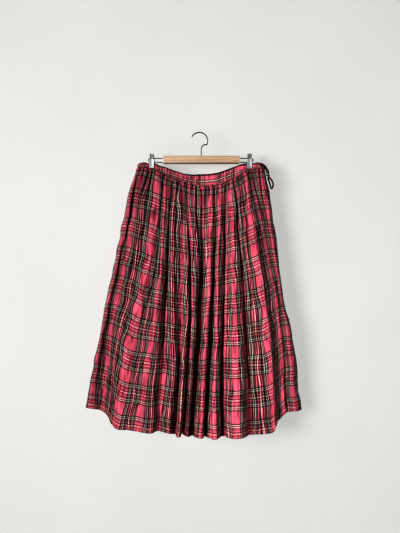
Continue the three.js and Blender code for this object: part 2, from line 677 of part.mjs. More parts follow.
addPiece('hanger_bar', hangerBar(), 'wood');
addPiece('hanger_hook', hangerHook(), 'steel');
for (const [side, name, clipX] of [
  [-1, 'left', CLIP.left],
  [1, 'right', CLIP.right],
]) {
  addPiece(`hanger_wire_${name}`, slideWire(side, clipX), 'steel');
  addPiece(`clip_${name}_front`, clipPlate(clipX, -1), 'steel');
  addPiece(`clip_${name}_back`, clipPlate(clipX, 1), 'steel');
  addPiece(`clip_${name}_saddle`, clipSaddle(clipX), 'steel');
}

addPiece('tie_strand_outer', cord(TIE_OUTER, TIE.strandSteps), 'tartanDark');
addPiece('tie_strand_inner', cord(TIE_INNER, TIE.strandSteps), 'tartanDark');
addPiece('tie_knot', tieKnot(), 'tartanDark');
addPiece('tie_loop', cord(TIE_LOOP, TIE.loopSteps), 'tartanDark');

export default skirt;
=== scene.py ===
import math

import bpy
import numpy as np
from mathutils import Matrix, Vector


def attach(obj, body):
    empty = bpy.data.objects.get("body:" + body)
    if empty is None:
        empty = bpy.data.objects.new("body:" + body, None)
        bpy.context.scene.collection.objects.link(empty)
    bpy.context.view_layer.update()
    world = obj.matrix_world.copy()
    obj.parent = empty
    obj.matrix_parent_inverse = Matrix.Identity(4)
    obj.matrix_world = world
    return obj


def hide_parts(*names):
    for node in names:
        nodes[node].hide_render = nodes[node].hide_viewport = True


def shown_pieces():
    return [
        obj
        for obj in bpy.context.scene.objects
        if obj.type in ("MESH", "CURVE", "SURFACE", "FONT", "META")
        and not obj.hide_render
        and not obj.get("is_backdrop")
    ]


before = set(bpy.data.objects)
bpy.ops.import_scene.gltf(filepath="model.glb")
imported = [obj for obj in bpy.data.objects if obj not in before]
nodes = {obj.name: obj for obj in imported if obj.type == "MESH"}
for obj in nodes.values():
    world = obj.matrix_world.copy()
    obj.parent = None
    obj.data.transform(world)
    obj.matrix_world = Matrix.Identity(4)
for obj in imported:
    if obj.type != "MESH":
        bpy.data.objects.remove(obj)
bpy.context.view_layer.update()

# A gathered tartan skirt of crinkled cotton, clipped by its waistband to a flat wooden hanger.
# Sizes are in millimetres and become metres where a mesh is made. +Z is up, the front faces -Y,
# and the origin is the inside of the hook's top.

MM = 0.001

# ---------------------------------------------------------------- camera

CAMERA = {"at": (-3.9, -1850, -400), "sees": 1599, "sensor": 36}  # sees: height in view at the hanger

camera = bpy.data.objects.new("camera", bpy.data.cameras.new("camera"))
bpy.context.scene.collection.objects.link(camera)
camera.location = Vector(CAMERA["at"]) * MM
camera.rotation_euler = (math.pi / 2, 0, 0)
camera.data.sensor_width = CAMERA["sensor"]
camera.data.lens = -CAMERA["sensor"] * CAMERA["at"][1] / CAMERA["sees"]
bpy.context.scene.camera = camera

# ---------------------------------------------------------------- curves


def mix(a, b, share):
    return a + (b - a) * share


def smooth(value):
    held = np.clip(value, 0, 1)
    return held * held * (3 - 2 * held)


def curve_through(xs, ys):
    """Smooth curve through points that never overshoots between them. A column of ys is its own curve."""
    xs = np.asarray(xs, float)
    ys = np.asarray(ys, float).reshape(len(xs), -1)
    widths = np.diff(xs)[:, None]
    secants = np.diff(ys, axis=0) / widths
    before, after = np.vstack([secants[:1], secants]), np.vstack([secants, secants[-1:]])
    rising = before * after > 0
    slopes = np.where(rising, 2 * before * after / np.where(rising, before + after, 1), 0)

    def at(x):
        x = np.asarray(x, float)
        i = np.clip(np.searchsorted(xs, x, side="right") - 1, 0, len(xs) - 2)
        width = widths[i]
        t = np.clip((x[..., None] - xs[i][..., None]) / width, 0, 1)
        lead = t * (1 - t) ** 2 * slopes[i] - t**2 * (1 - t) * slopes[i + 1]
        found = mix(ys[i], ys[i + 1], smooth(t)) + width * lead
        return found[..., 0] if ys.shape[1] == 1 else found

    return at


def route_through(points, steps):
    """Evenly spaced points on a rounded line through the given ones."""
    points = np.asarray(points, float)
    points = np.vstack([2 * points[0] - points[1], points, 2 * points[-1] - points[-2]])
    times = np.concatenate([[0], np.cumsum(np.linalg.norm(np.diff(points, axis=0), axis=1) ** 0.5)])
    fine = []
    for i in range(1, len(points) - 2):
        for t in np.linspace(times[i], times[i + 1], 24, endpoint=False):
            level = [points[i - 1 + k] for k in range(4)]
            for reach in (1, 2, 3):
                level = [
                    mix(level[k], level[k + 1], (t - low) / (high - low))
                    for k in range(4 - reach)
                    for low, high in [knots_of(times, i, k, reach)]
                ]
            fine.append(level[0])
    fine = np.vstack([fine, points[-2]])
    run = length_along(fine)
    even = np.linspace(0, run[-1], steps + 1)
    return np.stack([np.interp(even, run, fine[:, axis]) for axis in range(3)], axis=1)


def knots_of(times, i, k, reach):
    """The two times between which a level of the rounded line is mixed."""
    if reach == 1:
        return times[i - 1 + k], times[i + k]
    if reach == 2:
        return times[i - 1 + k], times[i + 1 + k]
    return times[i], times[i + 1]


def unevenness(across, along, cell, seed):
    """Smooth heights from -1 to 1 with no pattern, over cells of the given size across and along."""
    heights = np.random.default_rng(seed).uniform(-1, 1, (512, 512))
    u, v = np.broadcast_arrays(across / cell[0], along / cell[1])
    i, j = np.floor(u).astype(int), np.floor(v).astype(int)
    s, t = smooth(u - i), smooth(v - j)

    def height(a, b):
        return heights[(i + a) % 512, (j + b) % 512]

    return mix(mix(height(0, 0), height(1, 0), s), mix(height(0, 1), height(1, 1), s), t)


# ---------------------------------------------------------------- meshes


def select_only(piece):
    bpy.ops.object.select_all(action="DESELECT")
    piece.select_set(True)
    bpy.context.view_layer.objects.active = piece


def apply_modifier(piece, kind, **settings):
    select_only(piece)
    modifier = piece.modifiers.new(kind.title(), kind)
    for name, value in settings.items():
        setattr(modifier, name, value)
    bpy.ops.object.modifier_apply(modifier=modifier.name)


def new_piece(name, points, faces, threads=None):
    """A mesh object from points in millimetres. Cloth and cord are smooth and have their place in the
    check as their map."""
    mesh = bpy.data.meshes.new(name)
    mesh.from_pydata((np.asarray(points) * MM).tolist(), [], faces)
    if threads is not None:
        corners = np.zeros(len(mesh.loops), int)
        mesh.loops.foreach_get("vertex_index", corners)
        mesh.uv_layers.new(name="threads").data.foreach_set("uv", threads[corners].ravel())
        mesh.polygons.foreach_set("use_smooth", np.ones(len(mesh.polygons), bool))
    mesh.update()
    piece = bpy.data.objects.new(name, mesh)
    bpy.context.scene.collection.objects.link(piece)
    return piece


def length_along(route):
    """How far along a line each of its points lies."""
    return np.concatenate([[0], np.cumsum(np.linalg.norm(np.diff(route, axis=0), axis=1))])


def grid_faces(rows, columns, facing):
    """Quads of a grid of points, rows from the top down, that face the front (-1) or the back (1)."""
    corner = np.arange(rows * columns).reshape(rows, columns)
    a, b, c, d = corner[:-1, :-1], corner[1:, :-1], corner[1:, 1:], corner[:-1, 1:]
    around = (a, b, c, d) if facing < 0 else (d, c, b, a)
    return np.stack(around, axis=-1).reshape(-1, 4).tolist()


def ring_faces(first, rings, sides):
    """Quads round a tube whose rings of points follow one another."""
    faces = []
    for ring in range(rings - 1):
        for k in range(sides):
            a, b = first + ring * sides + k, first + ring * sides + (k + 1) % sides
            faces.append((a, b, b + sides, a + sides))
    return faces


def outward(points, facing):
    """Level directions square to each row of a grid of points, pointing out of the skirt."""
    along = np.gradient(points[..., :2], axis=1)
    along /= np.maximum(np.linalg.norm(along, axis=2, keepdims=True), 1e-9)
    return np.stack([-along[..., 1], along[..., 0], np.zeros(along.shape[:2])], axis=2) * facing


# A red block's middle is a whole number and a bright line lies halfway between two. The map keeps
# the counts from 0 to 1.
COUNT_START = -2
COUNT_SPAN = 20


def map_of(across, down):
    across, down = np.broadcast_arrays(across, down)
    counts = np.stack([across, down], axis=-1).reshape(-1, 2)
    return (counts - COUNT_START) / COUNT_SPAN


def cloth(name, points, across, down, facing, thick):
    """A cloth wall: a grid of its outer points, given its thickness inward."""
    rows, columns = points.shape[:2]
    piece = new_piece(name, points.reshape(-1, 3), grid_faces(rows, columns, facing), map_of(across, down))
    apply_modifier(piece, "SOLIDIFY", thickness=thick * MM, offset=-1, use_even_offset=False)
    return piece


def stand_in(pieces):
    """Lets each piece be seen in place of its node, on the one body there is."""
    for node, piece in pieces.items():
        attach(piece, "root")
        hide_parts(node)


# ---------------------------------------------------------------- drawstring

TIE = {
    "thick": 4.4,
    "sides": 14,
    "steps": 60,
    "yarns": (0.56, 0.66),  # it is sewn from a black and red strip between these places in the check
    "repeat": 95,  # one repeat of the check along it
}
TIE_OUTER = [
    (176, -8.4, -91.6),
    (182, -9, -94.2),
    (187, -8.8, -97.6),
    (191.5, -8, -101.5),
    (195.4, -7.2, -106.2),
    (198.6, -6.6, -111.4),
    (200.8, -6.2, -117),
    (201.4, -6, -122.7),
]
TIE_INNER = [
    (174.5, -9.5, -96.4),
    (179.5, -9.8, -98.5),
    (184, -10.4, -101.4),
    (188, -10.3, -105),
    (191.6, -9.2, -109.4),
    (194.4, -7.6, -114),
    (196.1, -6.7, -118.6),
    (196.6, -6.2, -123.1),
]
TIE_KNOT = {
    "middle": (199.2, -6.2, -128.3),
    "wide": 3.5,  # from the middle to the string's own middle
    "deep": 2.8,
    "half_tall": 3,
    "slant": 0.8,
    "thick": 4.1,
}
TIE_LOOP = [
    (202.3, -8.1, -133.3),
    (207.2, -10.2, -139.2),
    (211.4, -12.7, -145.8),
    (213.7, -14.4, -153),
    (213.6, -13.8, -159.6),
    (212.3, -10.6, -164.8),
    (210.6, -6.2, -166.9),
    (208.9, -1.8, -165.4),
    (207.9, 1.4, -160.8),
    (206.6, 2, -154.4),
    (204.6, 0.6, -147.6),
    (201.9, -2, -140.8),
    (199.2, -4.1, -133.9),
]


def tube(name, route, radius):
    """A round cord along a route, closed at both ends. Its map runs along its length."""
    sides, rings = TIE["sides"], len(route)
    ahead = np.gradient(route, axis=0)
    ahead /= np.linalg.norm(ahead, axis=1, keepdims=True)
    run = length_along(route)
    side = np.cross(ahead[0], [0.0, 1.0, 0.0])
    points, threads = [], []
    for place, forward, distance in zip(route, ahead, run):
        side = side - forward * (side @ forward)
        side /= np.linalg.norm(side)
        other = np.cross(forward, side)
        for k in range(sides):
            angle = 2 * math.pi * k / sides
            points.append(place + radius * (math.cos(angle) * side + math.sin(angle) * other))
            share = 1 - abs(1 - 2 * k / sides)
            threads.append((mix(*TIE["yarns"], share), distance / TIE["repeat"]))
    faces = ring_faces(0, rings, sides)
    for ring, turn in ((0, -1), (rings - 1, 1)):
        middle = len(points)
        points.append(route[ring])
        threads.append((TIE["yarns"][0], run[ring] / TIE["repeat"]))
        for k in range(sides):
            a, b = ring * sides + k, ring * sides + (k + 1) % sides
            faces.append((a, b, middle) if turn > 0 else (b, a, middle))
    return new_piece(name, points, faces, map_of(*np.transpose(threads)))


def knot_route():
    """One and a half turns round the strands, with the ends tucked in."""
    x, y, z = TIE_KNOT["middle"]
    points = []
    for share in np.linspace(0, 1, 31):
        turn = math.radians(mix(-100, 440, share))
        rise = TIE_KNOT["half_tall"] * (1 - 2 * share) - TIE_KNOT["slant"] * math.cos(turn)
        around = TIE_KNOT["wide"] * math.cos(turn), TIE_KNOT["deep"] * math.sin(turn)
        points.append((x + around[0], y + around[1], z + rise))
    return np.array(points)


tie_knot = tube("tie_knot_turns", knot_route(), TIE_KNOT["thick"] / 2)
tie_pieces = {"tie_knot": tie_knot}
tie_rows = {"tie_strand_outer": TIE_OUTER, "tie_strand_inner": TIE_INNER, "tie_loop": TIE_LOOP}
for node, rows in tie_rows.items():
    route = route_through(rows, TIE["steps"])
    tie_pieces[node] = tube(f"{node}_cord", route, TIE["thick"] / 2)
stand_in(tie_pieces)

# ---------------------------------------------------------------- cloth sizes

SEAM_GAP = 0.3
CLEAR = 0.15  # how near the cloth comes to the middle plane, where front and back would meet
CLOTH = {
    "thick": 0.9,
    "length": 740,  # from the waist seam to the hem, along the cloth
    "hem": 10,  # turned twice and stitched
    "hem_extra": 0.6,
    "repeat": 65,  # one repeat of the check across, as the crinkle draws it in
    "repeat_at_seam": 88,  # one repeat down the cloth
    "repeat_at_hem": 96,
    "tucked": 3,  # how far it runs up behind the casing
    "edge_wander": 1.9,
    "side_wander": 2.3,
    "hem_wander": 1.8,
}
BAND = {"thick": 1.5, "bulge": 1.1, "back_lean": 0.55, "repeat": 87.6, "line_at": -17.3}
GATHERS = {"front": 27, "back": 25, "at_seam": 1.6, "puff": 5.0, "puff_depth": 12, "fade_depth": 240}
CLIPS_AT = (-148.5, 144.3)

# The casing along its length: heights of its top edge and of the waist seam, and how far each
# stands out from the middle plane of the hanger.
BAND_COLUMNS = ("x", "top_z", "seam_z", "top_out", "seam_out")
BAND_ROWS = [
    (-192, -98, -104.5, 0.15, 0.15),
    (-190, -95, -104, 3.2, 7),
    (-184, -90.5, -103, 5, 17),
    (-170, -88.5, -103.5, 5, 25),
    (-158, -91, -109.5, 3.5, 22),
    (-139, -91.3, -111.5, 3.5, 22),
    (-128, -96.5, -119.5, 5.5, 31),
    (-107, -104, -131.5, 8.5, 35),
    (-78, -114.7, -142, 12, 35),
    (-49, -124.3, -152.6, 15, 33),
    (-21, -126.8, -161.5, 16.5, 31),
    (10, -125.6, -163.3, 16.5, 30),
    (42, -122.5, -159.7, 15.5, 29.5),
    (73, -112.2, -149.4, 12.5, 29),
    (105, -99.8, -134.5, 8, 29),
    (124, -93.2, -123, 5.5, 28),
    (135, -91.2, -112.5, 3.5, 22),
    (154, -91, -109.5, 3.5, 21),
    (168, -89, -108, 5, 23),
    (182, -91.5, -108.5, 5, 15),
    (188, -93.5, -109, 3.2, 6.5),
    (190, -95.5, -109.5, 0.15, 0.15),
]

# Fold lines of the front panel, from the left side seam to the right one. Each is the crest or the
# foot of a fold: its place in the check, its places across the skirt and its reach toward the front
# at distances below the waist seam, and its extra drop at the hem.
ACROSS_AT = (0, 90, 220, 380, 540, 740)
OUT_AT = (90, 220, 540, 740)
FRONT_FOLDS = [
    (-1.3, (-192, -221, -246, -279, -310, -349), (0.15, 0.15, 0.15, 0.15), -4),
    (-1.0, (-189, -210, -233, -268, -300, -328), (20, 22, 24, 20), -8),
    (-0.45, (-181, -200, -223, -261, -290, -306), (17, 16, 12, 10), -4),
    (0.0, (-168, -188, -212, -245, -273, -292), (26, 28, 28, 24), -5),
    (0.5, (-155, -172, -187, -214, -248, -275), (30, 34, 40, 42), 0),
    (0.75, (-139, -150, -167, -196, -234, -261), (30, 34, 50, 56), 18),
    (1.0, (-126, -132, -146, -174, -211, -246), (38, 46, 60, 64), 20),
    (1.5, (-115, -123, -130, -153, -180, -216), (28, 32, 56, 62), 16),
    (2.0, (-102, -106, -113, -129, -155, -184), (39, 49, 64, 66), 10),
    (2.5, (-94, -100, -106, -119, -133, -147), (36, 44, 60, 62), 9),
    (3.0, (-88, -94, -98, -108, -114, -128), (28, 27, 32, 34), 6),
    (3.5, (-75, -82, -88, -88, -85, -97), (41, 50, 60, 62), 3),
    (4.0, (-57, -53, -52, -58, -65, -77), (30, 30, 32, 34), 4),
    (4.5, (-46, -44, -41, -42, -53, -66), (36, 46, 62, 70), 2),
    (4.9, (-38, -36, -32, -32, -42, -56), (29, 28, 30, 32), -3),
    (5.3, (-27, -26, -19, -21, -29, -45), (40, 52, 46, 44), -1),
    (6.0, (3, 3, 2, -3, -14, -29), (26, 21, 15, 13), 1),
    (7.0, (25, 24, 23, 17, 8, -2), (44, 56, 70, 76), -5),
    (7.55, (43, 42, 39, 31, 22, 12), (32, 34, 40, 40), -2),
    (8.05, (56, 54, 49, 46, 41, 38), (44, 56, 72, 80), 3),
    (8.75, (68, 69, 70, 67, 61, 63), (29, 29, 36, 38), 5),
    (9.5, (76, 79, 81, 80, 78, 77), (39, 50, 68, 74), 6),
    (10.0, (83, 87, 90, 94, 98, 98), (45, 57, 76, 83), 11),
    (10.3, (91, 97, 103, 110, 118, 120), (41, 51, 70, 78), 14),
    (11.0, (99, 106, 116, 125, 135, 142), (29, 29, 37, 41), 17),
    (11.5, (111, 120, 134, 152, 164, 179), (40, 48, 56, 60), 18),
    (11.75, (118, 128, 143, 168, 185, 202), (34, 42, 51, 55), 23),
    (12.0, (125, 136, 158, 185, 202, 214), (37, 50, 58, 59), 20),
    (12.5, (139, 154, 179, 206, 221, 226), (23, 24, 28, 29), 12),
    (13.0, (148, 164, 190, 218, 236, 244), (24, 25, 28, 28), -5),
    (13.4, (160, 175, 200, 228, 248, 256), (18, 17, 17, 16), -8),
    (14.0, (178, 190, 209, 236, 261, 276), (18, 20, 22, 20), -12),
    (14.35, (190, 207, 225, 245, 277, 299), (0.15, 0.15, 0.15, 0.15), -12),
]

# Fold lines of the back panel: place in the check, shares of the way from the left side seam to the
# right one at the waist and at the hem, reach toward the back, and extra drop at the hem.
BACK_OUT_AT = (90, 320, 740)
BACK_FOLDS = [
    (-0.25, (0, 0), (0.15, 0.15, 0.15), -4),
    (0.3, (0.04, 0.05), (17, 18, 19), -4),
    (0.8, (0.08, 0.08), (13, 9, 7), -2),
    (1.55, (0.13, 0.15), (20, 23, 25), 2),
    (2.1, (0.17, 0.19), (14, 9, 6), 1),
    (2.6, (0.21, 0.23), (21, 23, 24), 4),
    (3.6, (0.27, 0.32), (20, 22, 26), 7),
    (4.15, (0.31, 0.35), (13, 8, 5), 4),
    (4.7, (0.35, 0.385), (21, 24, 27), 6),
    (5.4, (0.39, 0.42), (14, 8, 6), 3),
    (6.2, (0.44, 0.48), (22, 25, 27), 5),
    (6.9, (0.49, 0.53), (14, 10, 7), 2),
    (7.4, (0.53, 0.56), (21, 22, 23), 4),
    (8.0, (0.58, 0.6), (13, 7, 5), 3),
    (8.6, (0.62, 0.645), (22, 26, 28), 7),
    (9.6, (0.69, 0.72), (20, 21, 23), 9),
    (10.15, (0.73, 0.75), (13, 8, 6), 6),
    (10.8, (0.78, 0.79), (20, 23, 25), 7),
    (11.35, (0.82, 0.825), (13, 9, 6), 2),
    (12.1, (0.87, 0.88), (18, 20, 22), -2),
    (12.6, (0.92, 0.92), (11, 8, 6), -7),
    (13.1, (0.96, 0.96), (14, 15, 16), -9),
    (13.6, (1, 1), (0.15, 0.15, 0.15), -12),
]

# Creases pressed and pulled into the panels: place in the check at the top and at the bottom, where
# they start and end below the waist seam, width, and height (below zero is a groove).
FRONT_CREASES = [
    (-0.85, -0.8, 6, 260, 7, 3.0),
    (-0.6, -0.72, 20, 420, 8, -3.2),
    (-0.25, -0.3, 4, 310, 6, 2.8),
    (-0.1, 0.05, 160, 640, 8, -2.4),
    (0.2, 0.25, 2, 240, 6, -3.4),
    (0.35, 0.3, 10, 520, 7, 3.0),
    (0.6, 0.55, 60, 560, 7, -2.6),
    (0.85, 0.95, 4, 200, 5, -2.8),
    (1.12, 1.2, 120, 700, 8, -2.4),
    (1.3, 1.35, 4, 420, 6, 2.6),
    (1.62, 1.7, 30, 500, 7, 2.4),
    (1.8, 1.75, 2, 260, 5, -2.6),
    (2.2, 2.25, 90, 700, 8, -2.8),
    (2.35, 2.4, 2, 300, 5, 2.2),
    (2.75, 2.7, 10, 600, 7, 2.6),
    (3.2, 3.25, 4, 360, 6, 2.6),
    (3.35, 3.3, 200, 720, 7, -2.2),
    (3.65, 3.7, 6, 700, 7, 2.4),
    (3.85, 3.8, 6, 300, 5, -2.4),
    (4.2, 4.25, 60, 700, 8, 2.0),
    (4.65, 4.7, 4, 420, 5, -2.4),
    (5.1, 5.05, 20, 660, 6, 2.2),
    (5.45, 5.5, 2, 330, 6, 3.0),
    (5.7, 5.65, 40, 600, 7, -2.2),
    (6.3, 6.25, 4, 380, 7, 2.4),
    (6.55, 6.5, 120, 720, 7, -2.4),
    (6.85, 6.9, 6, 300, 5, -2.2),
    (7.2, 7.15, 60, 720, 7, 2.4),
    (7.4, 7.35, 4, 260, 5, 2.4),
    (7.75, 7.8, 30, 620, 7, -2.6),
    (8.2, 8.25, 4, 420, 6, -2.4),
    (8.45, 8.4, 120, 720, 8, 2.4),
    (8.95, 9.0, 6, 520, 6, 2.4),
    (9.2, 9.15, 60, 700, 7, -2.4),
    (9.7, 9.75, 4, 360, 5, 2.6),
    (10.12, 10.1, 30, 600, 5, -2.4),
    (10.55, 10.6, 6, 640, 7, 2.6),
    (10.8, 10.75, 4, 240, 5, -2.6),
    (11.2, 11.25, 60, 700, 7, 2.4),
    (11.62, 11.6, 4, 420, 5, -2.6),
    (12.2, 12.25, 30, 520, 7, -2.6),
    (12.35, 12.4, 2, 320, 5, 2.6),
    (12.75, 12.7, 60, 640, 7, 2.4),
    (13.15, 13.2, 4, 460, 6, -3.0),
    (13.7, 13.65, 6, 520, 7, 3.0),
    (13.9, 13.85, 20, 300, 5, -2.6),
]
BACK_CREASES = [
    (0.1, 0.05, 10, 420, 7, 2.4),
    (0.55, 0.5, 4, 300, 6, -2.6),
    (1.1, 1.15, 30, 560, 7, 2.2),
    (1.8, 1.85, 4, 340, 6, -2.4),
    (2.35, 2.3, 60, 640, 7, 2.2),
    (3.05, 3.1, 4, 500, 7, -2.4),
    (3.9, 3.85, 20, 420, 6, 2.4),
    (4.45, 4.5, 4, 600, 7, -2.2),
    (5.1, 5.05, 90, 700, 7, 2.2),
    (5.75, 5.8, 4, 320, 6, 2.4),
    (6.5, 6.45, 30, 560, 7, -2.4),
    (7.15, 7.2, 4, 420, 6, 2.4),
    (7.75, 7.7, 60, 660, 7, -2.2),
    (8.3, 8.35, 4, 360, 6, 2.4),
    (9.1, 9.05, 20, 620, 8, -2.6),
    (9.9, 9.95, 4, 440, 6, 2.2),
    (10.5, 10.45, 60, 700, 7, -2.2),
    (11.1, 11.15, 4, 320, 6, 2.4),
    (11.8, 11.75, 30, 560, 7, -2.4),
    (12.4, 12.45, 4, 420, 6, 2.2),
    (12.9, 12.85, 20, 520, 6, -2.4),
]

# Distances below the waist seam of the bright lines that run round the cloth.
LINES_DOWN = (-3, 97, 182, 273, 358, 450, 543, 634, 727)

band_shape = dict(zip(BAND_COLUMNS, zip(*BAND_ROWS)))
band_curve = {name: curve_through(band_shape["x"], band_shape[name]) for name in BAND_COLUMNS[1:]}

# ---------------------------------------------------------------- skirt panels


def panel_rows():
    """Distances below the waist seam where a panel has a row of points, closer at its two ends."""
    gathers = [0, 1.2, 2.8, 4.8, 7.2, 10, 13.5, 17.5, 22, 27, 33, 40, 48]
    hang = np.linspace(56, 722, 81)
    hem = CLOTH["length"] - np.array([13.5, 10.8, 10, 7.5, 3.5, 0.8, 0])
    return np.concatenate([gathers, hang, hem])


def front_lines():
    setts, across, out, drop = zip(*FRONT_FOLDS)
    seam_out = band_curve["seam_out"](np.array([places[0] for places in across]))
    return {
        "setts": np.array(setts),
        "drop": np.array(drop, float),
        "across": curve_through(ACROSS_AT, np.transpose(across)),
        "out": curve_through((0, *OUT_AT), np.vstack([seam_out, np.transpose(out)])),
    }


def back_lines():
    setts, shares, out, drop = zip(*BACK_FOLDS)
    sides = curve_through(ACROSS_AT, np.transpose([FRONT_FOLDS[0][1], FRONT_FOLDS[-1][1]]))
    shares = np.array(shares)

    def across(depth):
        left, right = sides(depth)[:, :1], sides(depth)[:, 1:]
        fanned = mix(shares[:, 0], shares[:, 1], smooth(depth / CLOTH["length"])[:, None])
        return mix(left, right, fanned)

    seam_out = band_curve["seam_out"](across(np.zeros(1))[0]) * BAND["back_lean"]
    out = np.vstack([np.maximum(seam_out, CLEAR), np.transpose(out)])
    return {
        "setts": np.array(setts),
        "drop": np.array(drop, float),
        "across": across,
        "out": curve_through((0, *BACK_OUT_AT), out),
    }


def even_columns(lines, count):
    fine = np.linspace(lines["setts"][0], lines["setts"][-1], 1600)
    depths = np.array([30.0, 220.0, 480.0, CLOTH["length"]])
    across = curve_through(lines["setts"], lines["across"](depths).T)(fine)
    out = curve_through(lines["setts"], lines["out"](depths).T)(fine)
    run = np.hypot(np.diff(across, axis=0), np.diff(out, axis=0)).mean(axis=1)
    run = np.concatenate([[0], np.cumsum(run + 0.02)])
    return np.interp(np.linspace(0, run[-1], count), run, fine)


def gathers_of(phase, count, depth, seed):
    """Height of the gathers under the waist seam: rounded tubes with sharp valleys, no two alike."""
    bent = phase + 0.3 * unevenness(phase, depth, (1.7, 400), seed)
    tubes = 2 * np.abs(np.cos(math.pi * bent)) ** 0.9 - 1
    fade = GATHERS["fade_depth"] * (1.05 + 0.55 * unevenness(phase, 0 * depth, (1.3, 1), seed + 1))
    swell = mix(GATHERS["at_seam"], GATHERS["puff"], smooth(depth / GATHERS["puff_depth"]))
    taper = np.clip(phase / 1.5, 0, 1) * np.clip((count - phase) / 1.5, 0, 1)
    return swell * (1 - smooth((depth - GATHERS["puff_depth"]) / fade)) * taper * tubes


def creases_of(across, depth, creases):
    total = np.zeros(np.broadcast(across, depth).shape)
    for top, bottom, start, end, width, height in creases:
        place = mix(top, bottom, np.clip((depth - start) / (end - start), 0, 1))
        away = np.abs(across - place) * CLOTH["repeat"] / width
        shown = smooth((depth - start) / 30 + 0.3) * (1 - smooth((depth - end + 120) / 120))
        total += height * np.exp(-(away**1.6)) * shown
    return total


def crinkle_of(width, depth, seed):
    """The fine crinkle that runs down the cloth, as broken ridges of several sizes."""
    broad = 1 - 2 * np.abs(unevenness(width, depth, (10, 150), seed))
    small = 1 - 2 * np.abs(unevenness(width, depth, (5.2, 70), seed + 1))
    fine = unevenness(width, depth, (3.4, 26), seed + 2)
    patch = 0.75 + 0.35 * unevenness(width, depth, (60, 90), seed + 3)
    return patch * (1.8 * broad + 1.4 * small + 1.0 * fine)


def hanging_points(lines, setts, depth, facing):
    """A panel on its fold lines. The cloth keeps its length, so a thread that runs aslant reaches less
    far down."""
    across = curve_through(lines["setts"], lines["across"](depth).T)(setts).T
    out = curve_through(lines["setts"], lines["out"](depth).T)(setts).T
    step = np.diff(depth)[:, None]
    level = np.diff(across, axis=0) ** 2 + np.diff(out, axis=0) ** 2
    fallen = np.sqrt(np.maximum(step**2 - level, (step / 2) ** 2))
    fallen = np.vstack([np.zeros(len(setts)), np.cumsum(fallen, axis=0)])
    fallen += curve_through(lines["setts"], lines["drop"])(setts) * smooth(depth / CLOTH["length"])[:, None]
    height = band_curve["seam_z"](across[0]) - SEAM_GAP - fallen
    return np.stack([across, facing * out, height], axis=2)


def relief_of(top, wide, down, inner, gathers, creases, seed):
    """How far a panel stands proud of its folds: gathers, crinkle, creases, puckers and turned hem."""
    width = wide * CLOTH["repeat"]
    phase = (top - top[0]) / (top[-1] - top[0]) * gathers
    near_seam = smooth(down / 6) * mix(0.35, 1, smooth(down / 50))
    worked = crinkle_of(width, down, seed + 3) + creases_of(wide, down, creases)
    puckers = unevenness(width, down, (4.6, 60), seed + 9) * smooth(down / 3)
    puckers *= mix(3.4, 2.0, smooth(down / 70)) * (1 - 0.75 * smooth((down - 10) / 150))
    turned = smooth((down - CLOTH["length"] + CLOTH["hem"]) / 0.8)
    rolled = smooth((down - CLOTH["length"] + 2) / 2)
    hem = CLOTH["hem_extra"] * turned * (1 - 0.9 * rolled)
    return gathers_of(phase[None, :], gathers, down, seed) + inner * (near_seam * worked + puckers + hem)


def loosen(points, wide, down, inner, seed):
    """Lets fold edges wander, crumples the side seams alike on both panels, and makes the hem dip."""
    width = wide * CLOTH["repeat"]
    hung = smooth((down - 4) / 60)
    points[..., 0] += hung * inner * CLOTH["edge_wander"] * unevenness(width, down, (24, 46), seed + 12)
    for seam, side_seed in ((wide[0, 0], 501), (wide[0, -1], 502)):
        near = CLOTH["side_wander"] * (1 - smooth(np.abs(wide - seam) / 0.9))
        points[..., 0] += hung * near * unevenness(0 * down, down, (1, 31), side_seed)
    low = smooth((down - 560) / 180)
    points[..., 2] += low * inner * CLOTH["hem_wander"] * unevenness(width, 0 * down, (26, 1), seed + 13)


def tucked_behind(points, facing):
    """The panel's points with one more row, that runs up behind the casing."""
    row = points[:1].copy()
    row[..., 2] += CLOTH["tucked"]
    row[..., 1] -= facing * np.minimum(2.2, np.abs(row[..., 1]) - CLEAR)
    return np.concatenate([row, points])


def panel_check(depth, wide, down, seed):
    """Places in the check across and down a panel, with its threads pulled a little out of line."""
    width = wide * CLOTH["repeat"]
    counted = np.interp(depth, LINES_DOWN, np.arange(len(LINES_DOWN)) + 0.5)
    counted += np.maximum(depth - LINES_DOWN[-1], 0) / CLOTH["repeat_at_hem"]
    pulled = 0.014 * unevenness(width, down, (11, 90), seed + 6)
    pulled += 0.012 * unevenness(width, down, (4.2, 30), seed + 7)
    count_down = counted[:, None] + pulled
    count_down = np.concatenate([count_down[:1] - CLOTH["tucked"] / CLOTH["repeat_at_seam"], count_down])
    count = wide + 0.055 * unevenness(width, down, (16, 50), seed + 8)
    return np.concatenate([count[:1], count]), count_down


def skirt_panel(name, lines, facing, gathers, creases, columns, seed):
    """One panel of the skirt. Gives the piece and the grid of its outer points."""
    depth = panel_rows()
    setts = even_columns(lines, columns)
    down, wide = depth[:, None], setts[None, :]
    inner = smooth(np.minimum(wide - setts[0], setts[-1] - wide) / 0.25)  # 0 at the side seams
    points = hanging_points(lines, setts, depth, facing)
    proud = relief_of(points[0, :, 0], wide, down, inner, gathers, creases, seed)
    points = points + outward(points, facing) * proud[..., None]
    points[..., 1] = facing * np.maximum(facing * points[..., 1], CLEAR)
    loosen(points, wide, down, inner, seed)
    grid = tucked_behind(points, facing)
    piece = cloth(name, grid, *panel_check(depth, wide, down, seed), facing, CLOTH["thick"])
    return piece, points, depth


front_cloth, front_points, panel_depth = skirt_panel(
    "skirt_front_cloth", front_lines(), -1, GATHERS["front"], FRONT_CREASES, 474, 11
)
back_cloth, back_points, _ = skirt_panel(
    "skirt_back_cloth", back_lines(), 1, GATHERS["back"], BACK_CREASES, 440, 41
)
stand_in({"skirt_front": front_cloth, "skirt_back": back_cloth})

# ---------------------------------------------------------------- waistband

